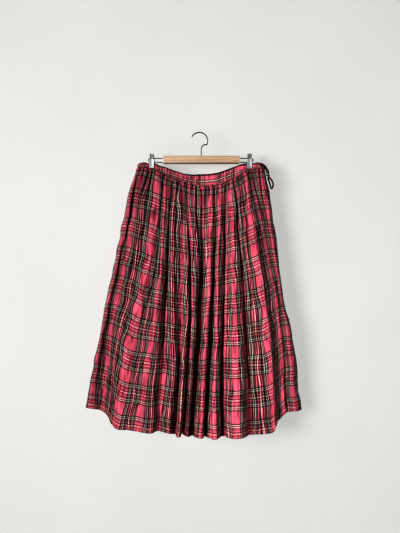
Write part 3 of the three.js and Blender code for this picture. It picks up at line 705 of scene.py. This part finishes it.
# Heights of the casing's outline between its edges: two channels that swell over their elastics, a
# stitched line between them, and a folded ridge along the waist seam.
CASING_OUTLINE = (
    (0, 0.04, 0.14, 0.25, 0.36, 0.425, 0.45, 0.475, 0.54, 0.66, 0.78, 0.87, 0.905, 0.935, 0.965, 1),
    (0.2, 0.75, 0.95, 1, 0.85, 0.2, -0.1, 0.2, 0.75, 1, 0.85, 0.45, 0.15, 0.5, 0.75, 0.3),
)

# The check along the casing's height: a black stripe on the top fold, a red channel, a pale line along
# the stitching, a second red channel, and a bright line on the ridge.
CASING_CHECK = (
    (0, 0.1, 0.36, 0.42, 0.49, 0.57, 0.61, 0.79, 0.83, 0.94, 1),
    (0.78, 0.815, 1.185, 1.22, 1.245, 1.28, 1.3875, 1.435, 1.4775, 1.5225, 1.565),
)


def casing(name, facing, lean, columns, seed):
    """Half of the waistband. Gives the piece, the grid of its outer points, and how far down each row is."""
    share = np.concatenate([np.linspace(0, 0.4, 15), np.linspace(0.42, 0.48, 5), np.linspace(0.5, 1, 24)])
    left, right = BAND_ROWS[0][0], BAND_ROWS[-1][0]
    even = np.linspace(0, 1, columns)
    x = mix(left, right, mix(even, (1 - np.cos(math.pi * even)) / 2, 0.3))
    down, wide = share[:, None], x[None, :]
    top = band_curve["top_out"](x)[None, :]
    foot = np.maximum(band_curve["seam_out"](x) * lean, top[0] * lean + CLEAR * (1 - lean))[None, :]
    from_clip = np.min([np.abs(wide - clip) for clip in CLIPS_AT], axis=0)
    pinch = 1 - smooth((from_clip - 12) / 22)
    out = mix(top, foot, down ** mix(2, 4, pinch))
    top_z, seam_z = band_curve["top_z"](x)[None, :], band_curve["seam_z"](x)[None, :]
    z = mix(top_z, seam_z, 1 - (1 - down) ** mix(1.4, 2.6, pinch))
    points = np.stack(np.broadcast_arrays(wide, facing * out, z), axis=2)

    run = np.concatenate([[0], np.cumsum(np.hypot(np.diff(x), np.diff(foot[0])))])
    run -= np.interp(BAND["line_at"], x, run)
    swell = curve_through(*CASING_OUTLINE)(share)[:, None]
    upper_rucks = unevenness(run, 0 * down, (5.4, 1), seed)
    lower_rucks = unevenness(run, 0 * down, (4.6, 1), seed + 1)
    rucks = mix(upper_rucks, lower_rucks, smooth((down - 0.43) / 0.04))
    ripple = unevenness(run[None, :], down, (2.6, 0.3), seed + 2)
    from_end = np.clip(np.minimum(wide - left, right - wide) / 12, 0, 1)
    proud = (1 - pinch) * from_end * (BAND["bulge"] * swell + swell * (0.95 * rucks + 0.3 * ripple))
    points = points + outward(points, facing) * proud[..., None]
    points[..., 2] += 0.5 * (1 - down) ** 6 * rucks * from_end * (1 - pinch)
    points[..., 1] = facing * np.maximum(facing * points[..., 1], CLEAR)

    count = 0.5 + run[None, :] / BAND["repeat"] + 0.012 * rucks
    count_down = np.interp(down, CASING_CHECK[0], CASING_CHECK[1]) + 0.006 * ripple
    piece = cloth(name, points, count, count_down, facing, BAND["thick"])
    return piece, points, share


band_front, band_front_points, band_share = casing("waistband_front_cloth", -1, 1, 520, 71)
band_back, band_back_points, _ = casing("waistband_back_cloth", 1, BAND["back_lean"], 480, 81)
stand_in({"waistband_front": band_front, "waistband_back": band_back})

# ---------------------------------------------------------------- stitching

STITCH = {"long": 2.6, "step": 3.3, "wide": 0.55, "flat": 0.8, "proud": 0.12, "sides": 5}
STITCH_PROFILE = ((0.0, 0.35), (0.18, 1.0), (0.82, 1.0), (1.0, 0.35))  # share of its length, fullness
BAND_SEWN_AT = (0.45, 0.905)  # shares of the casing's height: between its channels, and on its ridge
HEM_SEWN_AT = (CLOTH["length"] - 9,)


def stitches(name, lines, facing):
    """Sewn lines: each stitch is a small rounded bar that lies on the cloth along its line."""
    points, faces = [], []
    sides, rings = STITCH["sides"], len(STITCH_PROFILE)
    for line in lines:
        run = length_along(line)
        for start in np.arange(STITCH["step"], run[-1] - 2 * STITCH["step"], STITCH["step"]):
            ends = (start, start + STITCH["long"])
            low, high = np.stack([np.interp(ends, run, line[:, axis]) for axis in range(3)], axis=1)
            ahead = (high - low) / np.linalg.norm(high - low)
            side = np.cross(ahead, [0.0, facing, 0.0])
            side /= np.linalg.norm(side)
            lift = np.cross(side, ahead)
            lift *= facing * np.sign(lift[1])
            first = len(points)
            for share, fullness in STITCH_PROFILE:
                middle = mix(low, high, share) + lift * STITCH["proud"]
                reach = STITCH["wide"] / 2 * fullness
                for k in range(sides):
                    turn = 2 * math.pi * k / sides
                    around = math.cos(turn) * side + STITCH["flat"] * math.sin(turn) * lift
                    points.append(middle + reach * around)
            faces += ring_faces(first, rings, sides)
            faces.append(tuple(reversed(range(first, first + sides))))
            faces.append(tuple(range(first + (rings - 1) * sides, first + rings * sides)))
    piece = new_piece(name, points, faces)
    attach(piece, "root")
    return piece


def row_at(points, places, place):
    """The row of a grid of points at a share or depth between two of its rows."""
    i = int(np.clip(np.searchsorted(places, place) - 1, 0, len(places) - 2))
    return mix(points[i], points[i + 1], (place - places[i]) / (places[i + 1] - places[i]))


thread_pieces = [
    stitches(f"stitching_{where}", [row_at(points, places, place) for place in sewn_at], facing)
    for where, points, places, sewn_at, facing in (
        ("band_front", band_front_points, band_share, BAND_SEWN_AT, -1),
        ("band_back", band_back_points, band_share, BAND_SEWN_AT, 1),
        ("hem_front", front_points, panel_depth, HEM_SEWN_AT, -1),
        ("hem_back", back_points, panel_depth, HEM_SEWN_AT, 1),
    )
]

# ---------------------------------------------------------------- hanger metalwork

HOOK = {"wire": 3.2, "radius": 25, "centre_x": -6, "knee_z": -42, "foot_z": -80}
WIRE = {"thick": 2.6, "pitch": 12, "top_z": -75.6, "in_bar": 14, "past_clip": 4.6}
BAR = {"length": 231, "tall": 23, "centre_x": 0.2, "top_z": -69}
CLIP = {
    "half": 8.25,  # half its width at the jaw
    "grip": 6.5,  # half its width at the grip
    "jaw_y": 5.2,
    "foot_z": -105,
    "jaw": 28,
    "handle": 13.6,
    "plate": 1.3,
    "splay": 0.22,  # how far the grip leans out, as an angle
    "corner": 1.8,
    "tooth": 2.2,
    "rolled": 1.5,  # how proud its rolled sides, ribs and dished middle are
    "ribs": 1.3,
    "dish": 0.35,
}


def bent_wire(name, route, thick):
    """Round wire along a route, with its ends rounded off."""
    curve = bpy.data.curves.new(name, "CURVE")
    curve.dimensions = "3D"
    curve.bevel_depth = thick / 2 * MM
    curve.bevel_resolution = 5
    curve.use_fill_caps = True
    line = curve.splines.new("POLY")
    line.points.add(len(route) - 1)
    for place, point in zip(route, line.points):
        point.co = (*(np.array(place) * MM), 1)
    piece = bpy.data.objects.new(name, curve)
    bpy.context.scene.collection.objects.link(piece)
    select_only(piece)
    bpy.ops.object.convert(target="MESH")
    piece = bpy.context.view_layer.objects.active
    bpy.ops.object.shade_smooth_by_angle(angle=math.radians(40))
    return piece


def hook_route():
    inner = HOOK["radius"] - HOOK["wire"] / 2
    centre_z = -math.sqrt(inner**2 - HOOK["centre_x"] ** 2)
    points = []
    for degrees in range(152, -29, -12):
        turn = math.radians(degrees)
        x = HOOK["centre_x"] + HOOK["radius"] * math.cos(turn)
        points.append((x, 0, centre_z + HOOK["radius"] * math.sin(turn)))
    knee = HOOK["knee_z"]
    points += [(9.4, 0, knee + 7.4), (2.2, 0, knee + 1.8)]
    points += [(0, 0, z) for z in (knee - 3, knee - 14, HOOK["foot_z"])]
    return route_through(points, 110)


def slide_route(side, clip_x):
    start = BAR["centre_x"] + side * (BAR["length"] / 2 - WIRE["in_bar"])
    bend = clip_x + side * WIRE["past_clip"]
    radius = WIRE["pitch"] / 2
    turn = [math.radians(90 - 12 * k) for k in range(16)]
    round_end = [
        (bend + side * radius * math.cos(a), 0, WIRE["top_z"] - radius + radius * math.sin(a)) for a in turn
    ]
    return [(start, 0, WIRE["top_z"]), *round_end, (start, 0, WIRE["top_z"] - WIRE["pitch"])]


def clip_plate(name, clip_x, facing):
    """A pressed steel plate: a jaw with rolled sides and three short teeth, and a ribbed grip above."""
    columns, rows = 25, 47
    bpy.ops.object.select_all(action="DESELECT")
    bpy.ops.mesh.primitive_grid_add(x_subdivisions=columns - 1, y_subdivisions=rows - 1, size=2)
    piece = bpy.context.view_layer.objects.active
    piece.name = piece.data.name = name
    full = CLIP["jaw"] + CLIP["handle"]
    for vertex in piece.data.vertices:
        share, rise = vertex.co.x, (vertex.co.y + 1) / 2
        height = rise * full
        neck = smooth((height - CLIP["jaw"] + 2) / 3)
        half = mix(CLIP["half"], CLIP["grip"], neck)
        corner = max(height - full + CLIP["corner"], 0)
        half -= CLIP["corner"] - math.sqrt(max(CLIP["corner"] ** 2 - corner**2, 0))
        u = share * half
        lobe = min(abs(u), abs(abs(u) - (CLIP["half"] - 2.4)))
        tooth = math.sqrt(max(CLIP["tooth"] ** 2 - lobe**2, 0)) * (1 - smooth(height / 1.5))
        rolled = smooth((abs(u) - 4.6) / 1.5) * (1 - smooth((abs(u) - 7.1) / 1.4)) * (1 - neck)
        ribs = smooth((abs(u) - 1.9) / 0.9) * (1 - smooth((abs(u) - 5.6) / 1.0)) * neck
        dish = (1 - neck) * smooth((height - 4) / 3) * (1 - smooth(abs(u) / 4))
        lean = math.tan(CLIP["splay"]) * max(height - CLIP["jaw"], 0)
        proud = CLIP["plate"] + CLIP["rolled"] * rolled + CLIP["ribs"] * ribs - CLIP["dish"] * dish + lean
        y, z = facing * (CLIP["jaw_y"] + proud), CLIP["foot_z"] + height - tooth
        vertex.co = Vector((clip_x - facing * u, y, z)) * MM
    select_only(piece)
    bpy.ops.object.mode_set(mode="EDIT")
    bpy.ops.mesh.select_all(action="SELECT")
    bpy.ops.mesh.normals_make_consistent(inside=False)
    bpy.ops.object.mode_set(mode="OBJECT")
    outer = sum(face.normal.y * face.area for face in piece.data.polygons)
    if outer * facing < 0:
        piece.data.flip_normals()
    apply_modifier(piece, "SOLIDIFY", thickness=CLIP["plate"] * MM, offset=-1)
    sharp = math.radians(50)
    apply_modifier(piece, "BEVEL", width=0.25 * MM, segments=2, limit_method="ANGLE", angle_limit=sharp)
    select_only(piece)
    bpy.ops.object.shade_smooth_by_angle(angle=sharp)
    return piece


metal = {"hanger_hook": bent_wire("hook_wire", hook_route(), HOOK["wire"])}
for side, word, clip_x in ((-1, "left", CLIPS_AT[0]), (1, "right", CLIPS_AT[1])):
    metal[f"hanger_wire_{word}"] = bent_wire(f"slide_wire_{word}", slide_route(side, clip_x), WIRE["thick"])
    for facing, place in ((-1, "front"), (1, "back")):
        metal[f"clip_{word}_{place}"] = clip_plate(f"clip_plate_{word}_{place}", clip_x, facing)
stand_in(metal)

# ---------------------------------------------------------------- finishes


class Number:
    """A number that varies over a surface. Python's operators on it add Math nodes."""

    def __init__(self, finish, socket):
        self.finish = finish
        self.socket = socket

    def math(self, operation, *others):
        return self.finish.math(operation, self, *others)

    def __add__(self, other):
        return self.math("ADD", other)

    def __sub__(self, other):
        return self.math("SUBTRACT", other)

    def __rsub__(self, other):
        return self.finish.math("SUBTRACT", other, self)

    def __mul__(self, other):
        return self.math("MULTIPLY", other)

    def __truediv__(self, other):
        return self.math("DIVIDE", other)

    def __abs__(self):
        return self.math("ABSOLUTE")

    __radd__ = __add__
    __rmul__ = __mul__


def grey(light):
    """A colour without hue."""
    return (light,) * 3


class Finish:
    """A material as it is put together."""

    def __init__(self, name, **constants):
        self.material = bpy.data.materials.new(name)
        self.material.use_nodes = True
        self.tree = self.material.node_tree
        self.shader = self.tree.nodes["Principled BSDF"]
        self.give(**constants)

    def node(self, kind, settings=None, inputs=None):
        made = self.tree.nodes.new(kind)
        for name, value in (settings or {}).items():
            if name == "stops":
                # Colours come last, because the ramp sorts its stops as they move.
                elements = made.color_ramp.elements
                for place, _ in value[2:]:
                    elements.new(place)
                for element, (place, _) in zip(elements, value):
                    element.position = place
                for element, (_, colour) in zip(elements, value):
                    element.color = (*colour, 1)
            elif name == "interpolation":
                made.color_ramp.interpolation = value
            else:
                setattr(made, name, value)
        for name, value in (inputs or {}).items():
            self.feed(made.inputs[name], value)
        return made

    def feed(self, socket, value):
        value = value.socket if isinstance(value, Number) else value
        if isinstance(value, bpy.types.NodeSocket):
            self.tree.links.new(value, socket)
        else:
            socket.default_value = value

    def give(self, **values):
        """Feeds sockets of the shader itself."""
        for name, value in values.items():
            self.feed(self.shader.inputs[name.replace("_", " ")], value)

    def math(self, operation, *values):
        made = self.node("ShaderNodeMath", {"operation": operation}, dict(enumerate(values)))
        return Number(self, made.outputs[0])

    def noise(self, vector, scale, detail=2, roughness=0.5):
        inputs = {"Vector": vector, "Scale": scale, "Detail": detail, "Roughness": roughness}
        return Number(self, self.node("ShaderNodeTexNoise", None, inputs).outputs["Fac"])

    def vector(self, x, y, z=0.0):
        return self.node("ShaderNodeCombineXYZ", None, {"X": x, "Y": y, "Z": z}).outputs[0]

    def parts(self, vector):
        made = self.node("ShaderNodeSeparateXYZ", None, {0: vector})
        return [Number(self, made.outputs[axis]) for axis in "XYZ"]

    def ramp(self, value, stops, interpolation="LINEAR"):
        settings = {"interpolation": interpolation, "stops": stops}
        return self.node("ShaderNodeValToRGB", settings, {"Fac": value}).outputs["Color"]

    def blend(self, share, a, b, how="MIX"):
        """One colour from two, by the Mix node's way of blending."""
        settings = {"data_type": "RGBA", "blend_type": how}
        return self.node("ShaderNodeMix", settings, {0: share, 6: a, 7: b}).outputs[2]

    def dimmed(self, colour, *shades):
        """A colour times one shade after another."""
        for shade in shades:
            colour = self.blend(1.0, colour, shade, "MULTIPLY")
        return colour

    def bump(self, height, distance, strength=1.0, below=None):
        inputs = {"Height": height, "Distance": distance * MM, "Strength": strength}
        if below is not None:
            inputs["Normal"] = below
        return self.node("ShaderNodeBump", None, inputs).outputs["Normal"]


RED = (0.366, 0.0955, 0.1345)
CREAM = (0.47, 0.265, 0.258)
PALE = (0.38, 0.365, 0.33)
DULL = (0.26, 0.25, 0.23)
BLACK = (0.015, 0.003, 0.004)
GREEN = (0.022, 0.0275, 0.0235)
# Yarn colours from a bright line out to the middle of a red block, as shares of the way: of the yarns
# that run down, and of those that run across.
YARNS_DOWN = [
    (0.0, CREAM),
    (0.05, BLACK),
    (0.14, RED),
    (0.205, GREEN),
    (0.375, DULL),
    (0.42, GREEN),
    (0.505, DULL),
    (0.55, BLACK),
    (0.64, RED),
]
YARNS_ACROSS = [
    (0.0, CREAM),
    (0.045, BLACK),
    (0.13, RED),
    (0.225, GREEN),
    (0.385, PALE),
    (0.44, GREEN),
    (0.51, PALE),
    (0.56, BLACK),
    (0.63, RED),
]
# How much of the light reaches the yarns that run across, in the same order. The dark ones lie deeper.
SUNK = (1.0, 0.6, 1.05, 0.8, 0.92, 0.75, 0.92, 0.3, 1.0)
# Painted shade at places of the cloth's map, from left to right and from the waist down.
PAINTED_SHADE_AT_SIDES = [
    (0.06, (0.56, 0.585, 0.585)),
    (0.38, grey(1.0)),
    (0.6, grey(1.0)),
    (0.82, (0.76, 0.78, 0.78)),
]
PAINTED_SHADE_AT_WAIST = [(0.12, (0.86, 0.84, 0.84)), (0.26, grey(1.0))]
REPEAT_FLAT = 100  # one repeat of the check in millimetres of flat cloth
YARN_PITCH = 0.9


def tartan(name, shade=1.0, weft=0.06):
    """Yarn-dyed crinkled cotton. Both sets of yarns carry the check, and the weave shows them in turn.
    weft is how much the yarns across show in any place. shade lightens or darkens the whole colour:
    painted light or painted shade for one copy of the cloth."""
    finish = Finish(name, Roughness=0.9, Specular_IOR_Level=0.08)
    u, v, _ = finish.parts(finish.node("ShaderNodeUVMap", {"uv_map": "threads"}).outputs[0])
    across, down = (axis * COUNT_SPAN + COUNT_START for axis in (u, v))
    shares, colours = [], []
    for count, yarns, streaks in (
        (across, YARNS_DOWN, finish.vector(across * 70, down * 1.5)),
        (down, YARNS_ACROSS, finish.vector(across * 1.5, down * 70)),
    ):
        wavy = count + 0.006 * finish.noise(finish.vector(across * 3, down * 3), 2.0)
        share = abs(finish.math("FRACT", wavy) - 0.5) * 2
        slubs = finish.ramp(finish.noise(streaks, 1.0, detail=1), [(0.3, grey(0.8)), (0.7, grey(1.18))])
        colours.append(finish.dimmed(finish.ramp(share, yarns, "CONSTANT"), slubs))
        shares.append(share)
    depths = [(place, grey(light)) for (place, _), light in zip(YARNS_ACROSS, SUNK)]
    sunk = finish.ramp(shares[1], depths, "CONSTANT")

    # The yarns that run down hide most of what crosses them. Red ones are looser, and pale ones that
    # cross stand out.
    turns = 2 * math.pi * REPEAT_FLAT / YARN_PITCH
    over = finish.math("SINE", across * turns) * finish.math("SINE", down * turns)
    red_down, green_down, _ = finish.parts(colours[0])
    _, pale_across, _ = finish.parts(colours[1])
    shown = weft + 0.9 * (red_down - green_down) + 0.8 * pale_across + 0.22 * over
    woven = finish.blend(shown, *colours)

    # The dye is uneven in patches. Painted shade darkens both sides and the waist. The finest crinkles get
    # painted shade, tinted red, in their hollows and painted highlight on their ridges.
    patches = finish.noise(finish.vector(across * REPEAT_FLAT, down * REPEAT_FLAT), 0.03, detail=3)
    # Random fading, scaled by shade as painted light or painted shade.
    faded_and_painted_light = finish.ramp(patches, [(0.3, grey(0.9 * shade)), (0.7, grey(1.06 * shade))])
    # Painted shade at both sides of the cloth.
    deep = finish.ramp(u, PAINTED_SHADE_AT_SIDES)
    painted_waist_shade = finish.ramp(v, PAINTED_SHADE_AT_WAIST)
    crease = finish.noise(finish.vector(across * 12, down * 1.3), 1.0, detail=3, roughness=0.65)
    painted_crinkle_light = finish.ramp(crease, [(0.36, (0.4, 0.34, 0.34)), (0.5, grey(0.92)), (0.64, grey(1.14))])
    finish.give(
        Base_Color=finish.dimmed(woven, sunk, faded_and_painted_light, deep, painted_waist_shade, painted_crinkle_light),
        Roughness=0.82 + 0.14 * patches,
        Normal=finish.bump(over, 0.12, 0.35, finish.bump(crease, 2.4, 0.8)),
    )
    return finish.material


def plain_thread():
    """Spun sewing thread in dull red."""
    finish = Finish("sewing_thread", Roughness=0.7, Sheen_Weight=0.2)
    twist = finish.noise(finish.node("ShaderNodeTexCoord").outputs["Object"], 900.0, detail=1)
    dyed = finish.ramp(twist, [(0.3, (0.5, 0.05, 0.08)), (0.7, (0.78, 0.16, 0.2))])
    finish.give(Base_Color=dyed, Normal=finish.bump(twist, 0.1, 0.4))
    return finish.material


WOOD_GRAIN = [(0.28, (0.142, 0.096, 0.065)), (0.5, (0.195, 0.146, 0.104)), (0.72, (0.23, 0.176, 0.13))]
# Painted shade on the bar from its lower edge to its upper one, darkest along the lower edge.
PAINTED_BAR_EDGE_SHADE = [
    (0.0, (0.28, 0.26, 0.24)),
    (0.1, (0.4, 0.38, 0.36)),
    (0.17, grey(1.0)),
    (0.88, grey(1.0)),
    (0.97, (0.55, 0.53, 0.5)),
]


def varnished_wood():
    """Pale tan wood under satin varnish, its grain along the bar."""
    finish = Finish("varnished_wood", Coat_Roughness=0.3, Specular_IOR_Level=0.4)
    x, y, z = finish.parts(finish.node("ShaderNodeTexCoord").outputs["Object"])
    drift = finish.noise(finish.vector(x * 4, y * 20, z * 20), 1.0)
    rings = finish.noise(finish.vector(x * 5, y * 260, z * 260 + 6 * drift), 1.0, detail=4, roughness=0.6)
    pores = finish.noise(finish.vector(x * 60, y * 2400, z * 2400), 1.0, detail=1)
    flecks = finish.ramp(pores, [(0.30, (0.72, 0.68, 0.64)), (0.42, grey(1.0))])
    rise = (z - (BAR["top_z"] - BAR["tall"]) * MM) / (BAR["tall"] * MM)
    # The colour carries painted shade along the bar's lower and upper edges.
    finish.give(
        Base_Color=finish.dimmed(finish.ramp(rings, WOOD_GRAIN), flecks, finish.ramp(rise, PAINTED_BAR_EDGE_SHADE)),
        Roughness=0.34 + 0.2 * pores,
        Coat_Weight=0.25 + 0.1 * rings,
        Normal=finish.bump(rings, 0.08, 0.35),
    )
    return finish.material


def plated_steel(name, colour, roughness, grip_z=None):
    """Plated steel with drawn marks and faint dulling, darker above a given height."""
    finish = Finish(name, Metallic=1.0)
    x, y, z = finish.parts(finish.node("ShaderNodeTexCoord").outputs["Object"])
    drawn = finish.noise(finish.vector(x * 900, y * 900, z * 90), 1.0)
    dull = finish.noise(finish.vector(x * 120, y * 120, z * 120), 1.0, detail=3)
    plating = finish.ramp(dull, [(0.3, tuple(0.78 * c for c in colour)), (0.7, colour)])
    if grip_z is not None:
        above = (z - grip_z * MM) * 100 + 0.5
        plating = finish.dimmed(plating, finish.ramp(above, [(0.4, grey(1.0)), (0.6, (0.75, 0.74, 0.72))]))
    finish.give(Base_Color=plating, Roughness=roughness + 0.12 * dull, Normal=finish.bump(drawn, 0.03, 0.2))
    return finish.material


def wear(material, *pieces):
    for piece in pieces:
        piece.data.materials.clear()
        piece.data.materials.append(material)


wear(tartan("check_cloth"), front_cloth, back_cloth)
# The casing's copy is painted lighter, and the tie's copy carries painted shade.
wear(tartan("check_band", shade=1.15, weft=0.42), band_front, band_back)
wear(tartan("check_tie", shade=0.6), *tie_pieces.values())
wear(plain_thread(), *thread_pieces)
clips = [piece for node, piece in metal.items() if node.startswith("clip")]
wires = [piece for node, piece in metal.items() if not node.startswith("clip")]
wear(plated_steel("clip_steel", (0.185, 0.19, 0.19), 0.5, grip_z=-77), *clips)
wear(plated_steel("wire_steel", (0.055, 0.055, 0.058), 0.42), *wires)
# The saddles get a paler copy of the plated steel: painted light against the shade they lie in.
saddles = [nodes[f"clip_{word}_saddle"] for word in ("left", "right")]
wear(plated_steel("saddle_steel", (0.42, 0.43, 0.43), 0.6), *saddles)
wear(varnished_wood(), nodes["hanger_bar"])

# ---------------------------------------------------------------- backdrop and light

STAGE = {"wall_y": 62, "floor_z": -1900, "wide": 9000}  # the hanger hangs on the wall


def backdrop(name, place, turn, colour):
    """A plain pale surface that shows only its front, so that it hides nothing from behind."""
    bpy.ops.object.select_all(action="DESELECT")
    bpy.ops.mesh.primitive_plane_add(size=STAGE["wide"] * MM, location=Vector(place) * MM, rotation=turn)
    piece = bpy.context.view_layer.objects.active
    piece.name = piece.data.name = name
    finish = Finish(name, Roughness=0.95, Specular_IOR_Level=0.1)
    paint = finish.noise(finish.node("ShaderNodeTexCoord").outputs["Object"], 3.0, detail=4)
    low = tuple(0.98 * c for c in colour)
    finish.give(Base_Color=finish.ramp(paint, [(0.35, low), (0.65, colour)]))
    behind = finish.node("ShaderNodeNewGeometry").outputs["Backfacing"]
    clear = finish.node("ShaderNodeBsdfTransparent").outputs[0]
    shown = finish.node("ShaderNodeMixShader", None, {0: behind, 1: finish.shader.outputs[0], 2: clear})
    finish.feed(finish.tree.nodes["Material Output"].inputs["Surface"], shown.outputs[0])
    wear(finish.material, piece)
    piece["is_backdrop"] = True
    return piece


wall = backdrop("wall", (0, STAGE["wall_y"], -400), (math.pi / 2, 0, 0), (0.25, 0.252, 0.246))
floor = backdrop("floor", (0, 0, STAGE["floor_z"]), (0, 0, 0), (0.25, 0.247, 0.24))


def area_light(name, place, aim, size, power, colour=(1, 1, 1)):
    light = bpy.data.lights.new(name, "AREA")
    light.shape = "RECTANGLE"
    light.size, light.size_y = size[0] * MM, size[1] * MM
    light.energy = power
    light.color = colour
    lamp = bpy.data.objects.new(name, light)
    bpy.context.scene.collection.objects.link(lamp)
    lamp.location = Vector(place) * MM
    lamp.rotation_euler = (Vector(aim) - Vector(place)).to_track_quat("-Z", "Y").to_euler()
    return lamp


middle = (0, 0, -450)
window = area_light("window", (-2150, -3230, 300), middle, (900, 1000), 300, (1.0, 0.99, 0.97))
room = area_light("room", (2700, -2900, -100), middle, (1300, 1300), 98)
wall_window = area_light("wall_window", (-2500, -3000, -250), middle, (1400, 1400), 107)
wall_wash = area_light("wall_wash", (500, -3600, -500), middle, (3000, 3000), 243)
behind_left = area_light("behind_left", (-1900, 1700, 500), middle, (1200, 1500), 100)
behind_right = area_light("behind_right", (1700, 1900, 100), middle, (1500, 1500), 28)

# The skirt and the wall are lit apart, so that a dim wall stays pale and the lights behind reach the
# back of the skirt. The skirt still shades the wall.
pieces = bpy.data.collections.new("pieces")
stage = bpy.data.collections.new("stage")
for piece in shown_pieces():
    pieces.objects.link(piece)
for piece in (wall, floor):
    stage.objects.link(piece)
for lamp in (window, room, behind_left, behind_right):
    lamp.light_linking.receiver_collection = pieces
    lamp.light_linking.blocker_collection = pieces
for lamp, shading in ((wall_window, pieces), (wall_wash, stage)):
    lamp.light_linking.receiver_collection = stage
    lamp.light_linking.blocker_collection = shading

world = bpy.data.worlds.new("room_light")
bpy.context.scene.world = world
world.use_nodes = True
world.node_tree.nodes["Background"].inputs["Color"].default_value = (1.0, 0.84, 0.84, 1)
world.node_tree.nodes["Background"].inputs["Strength"].default_value = 0.11
bpy.context.scene.view_settings.view_transform = "Standard"
bpy.context.scene.view_settings.look = "Very High Contrast"
bpy.context.scene.view_settings.gamma = 0.84
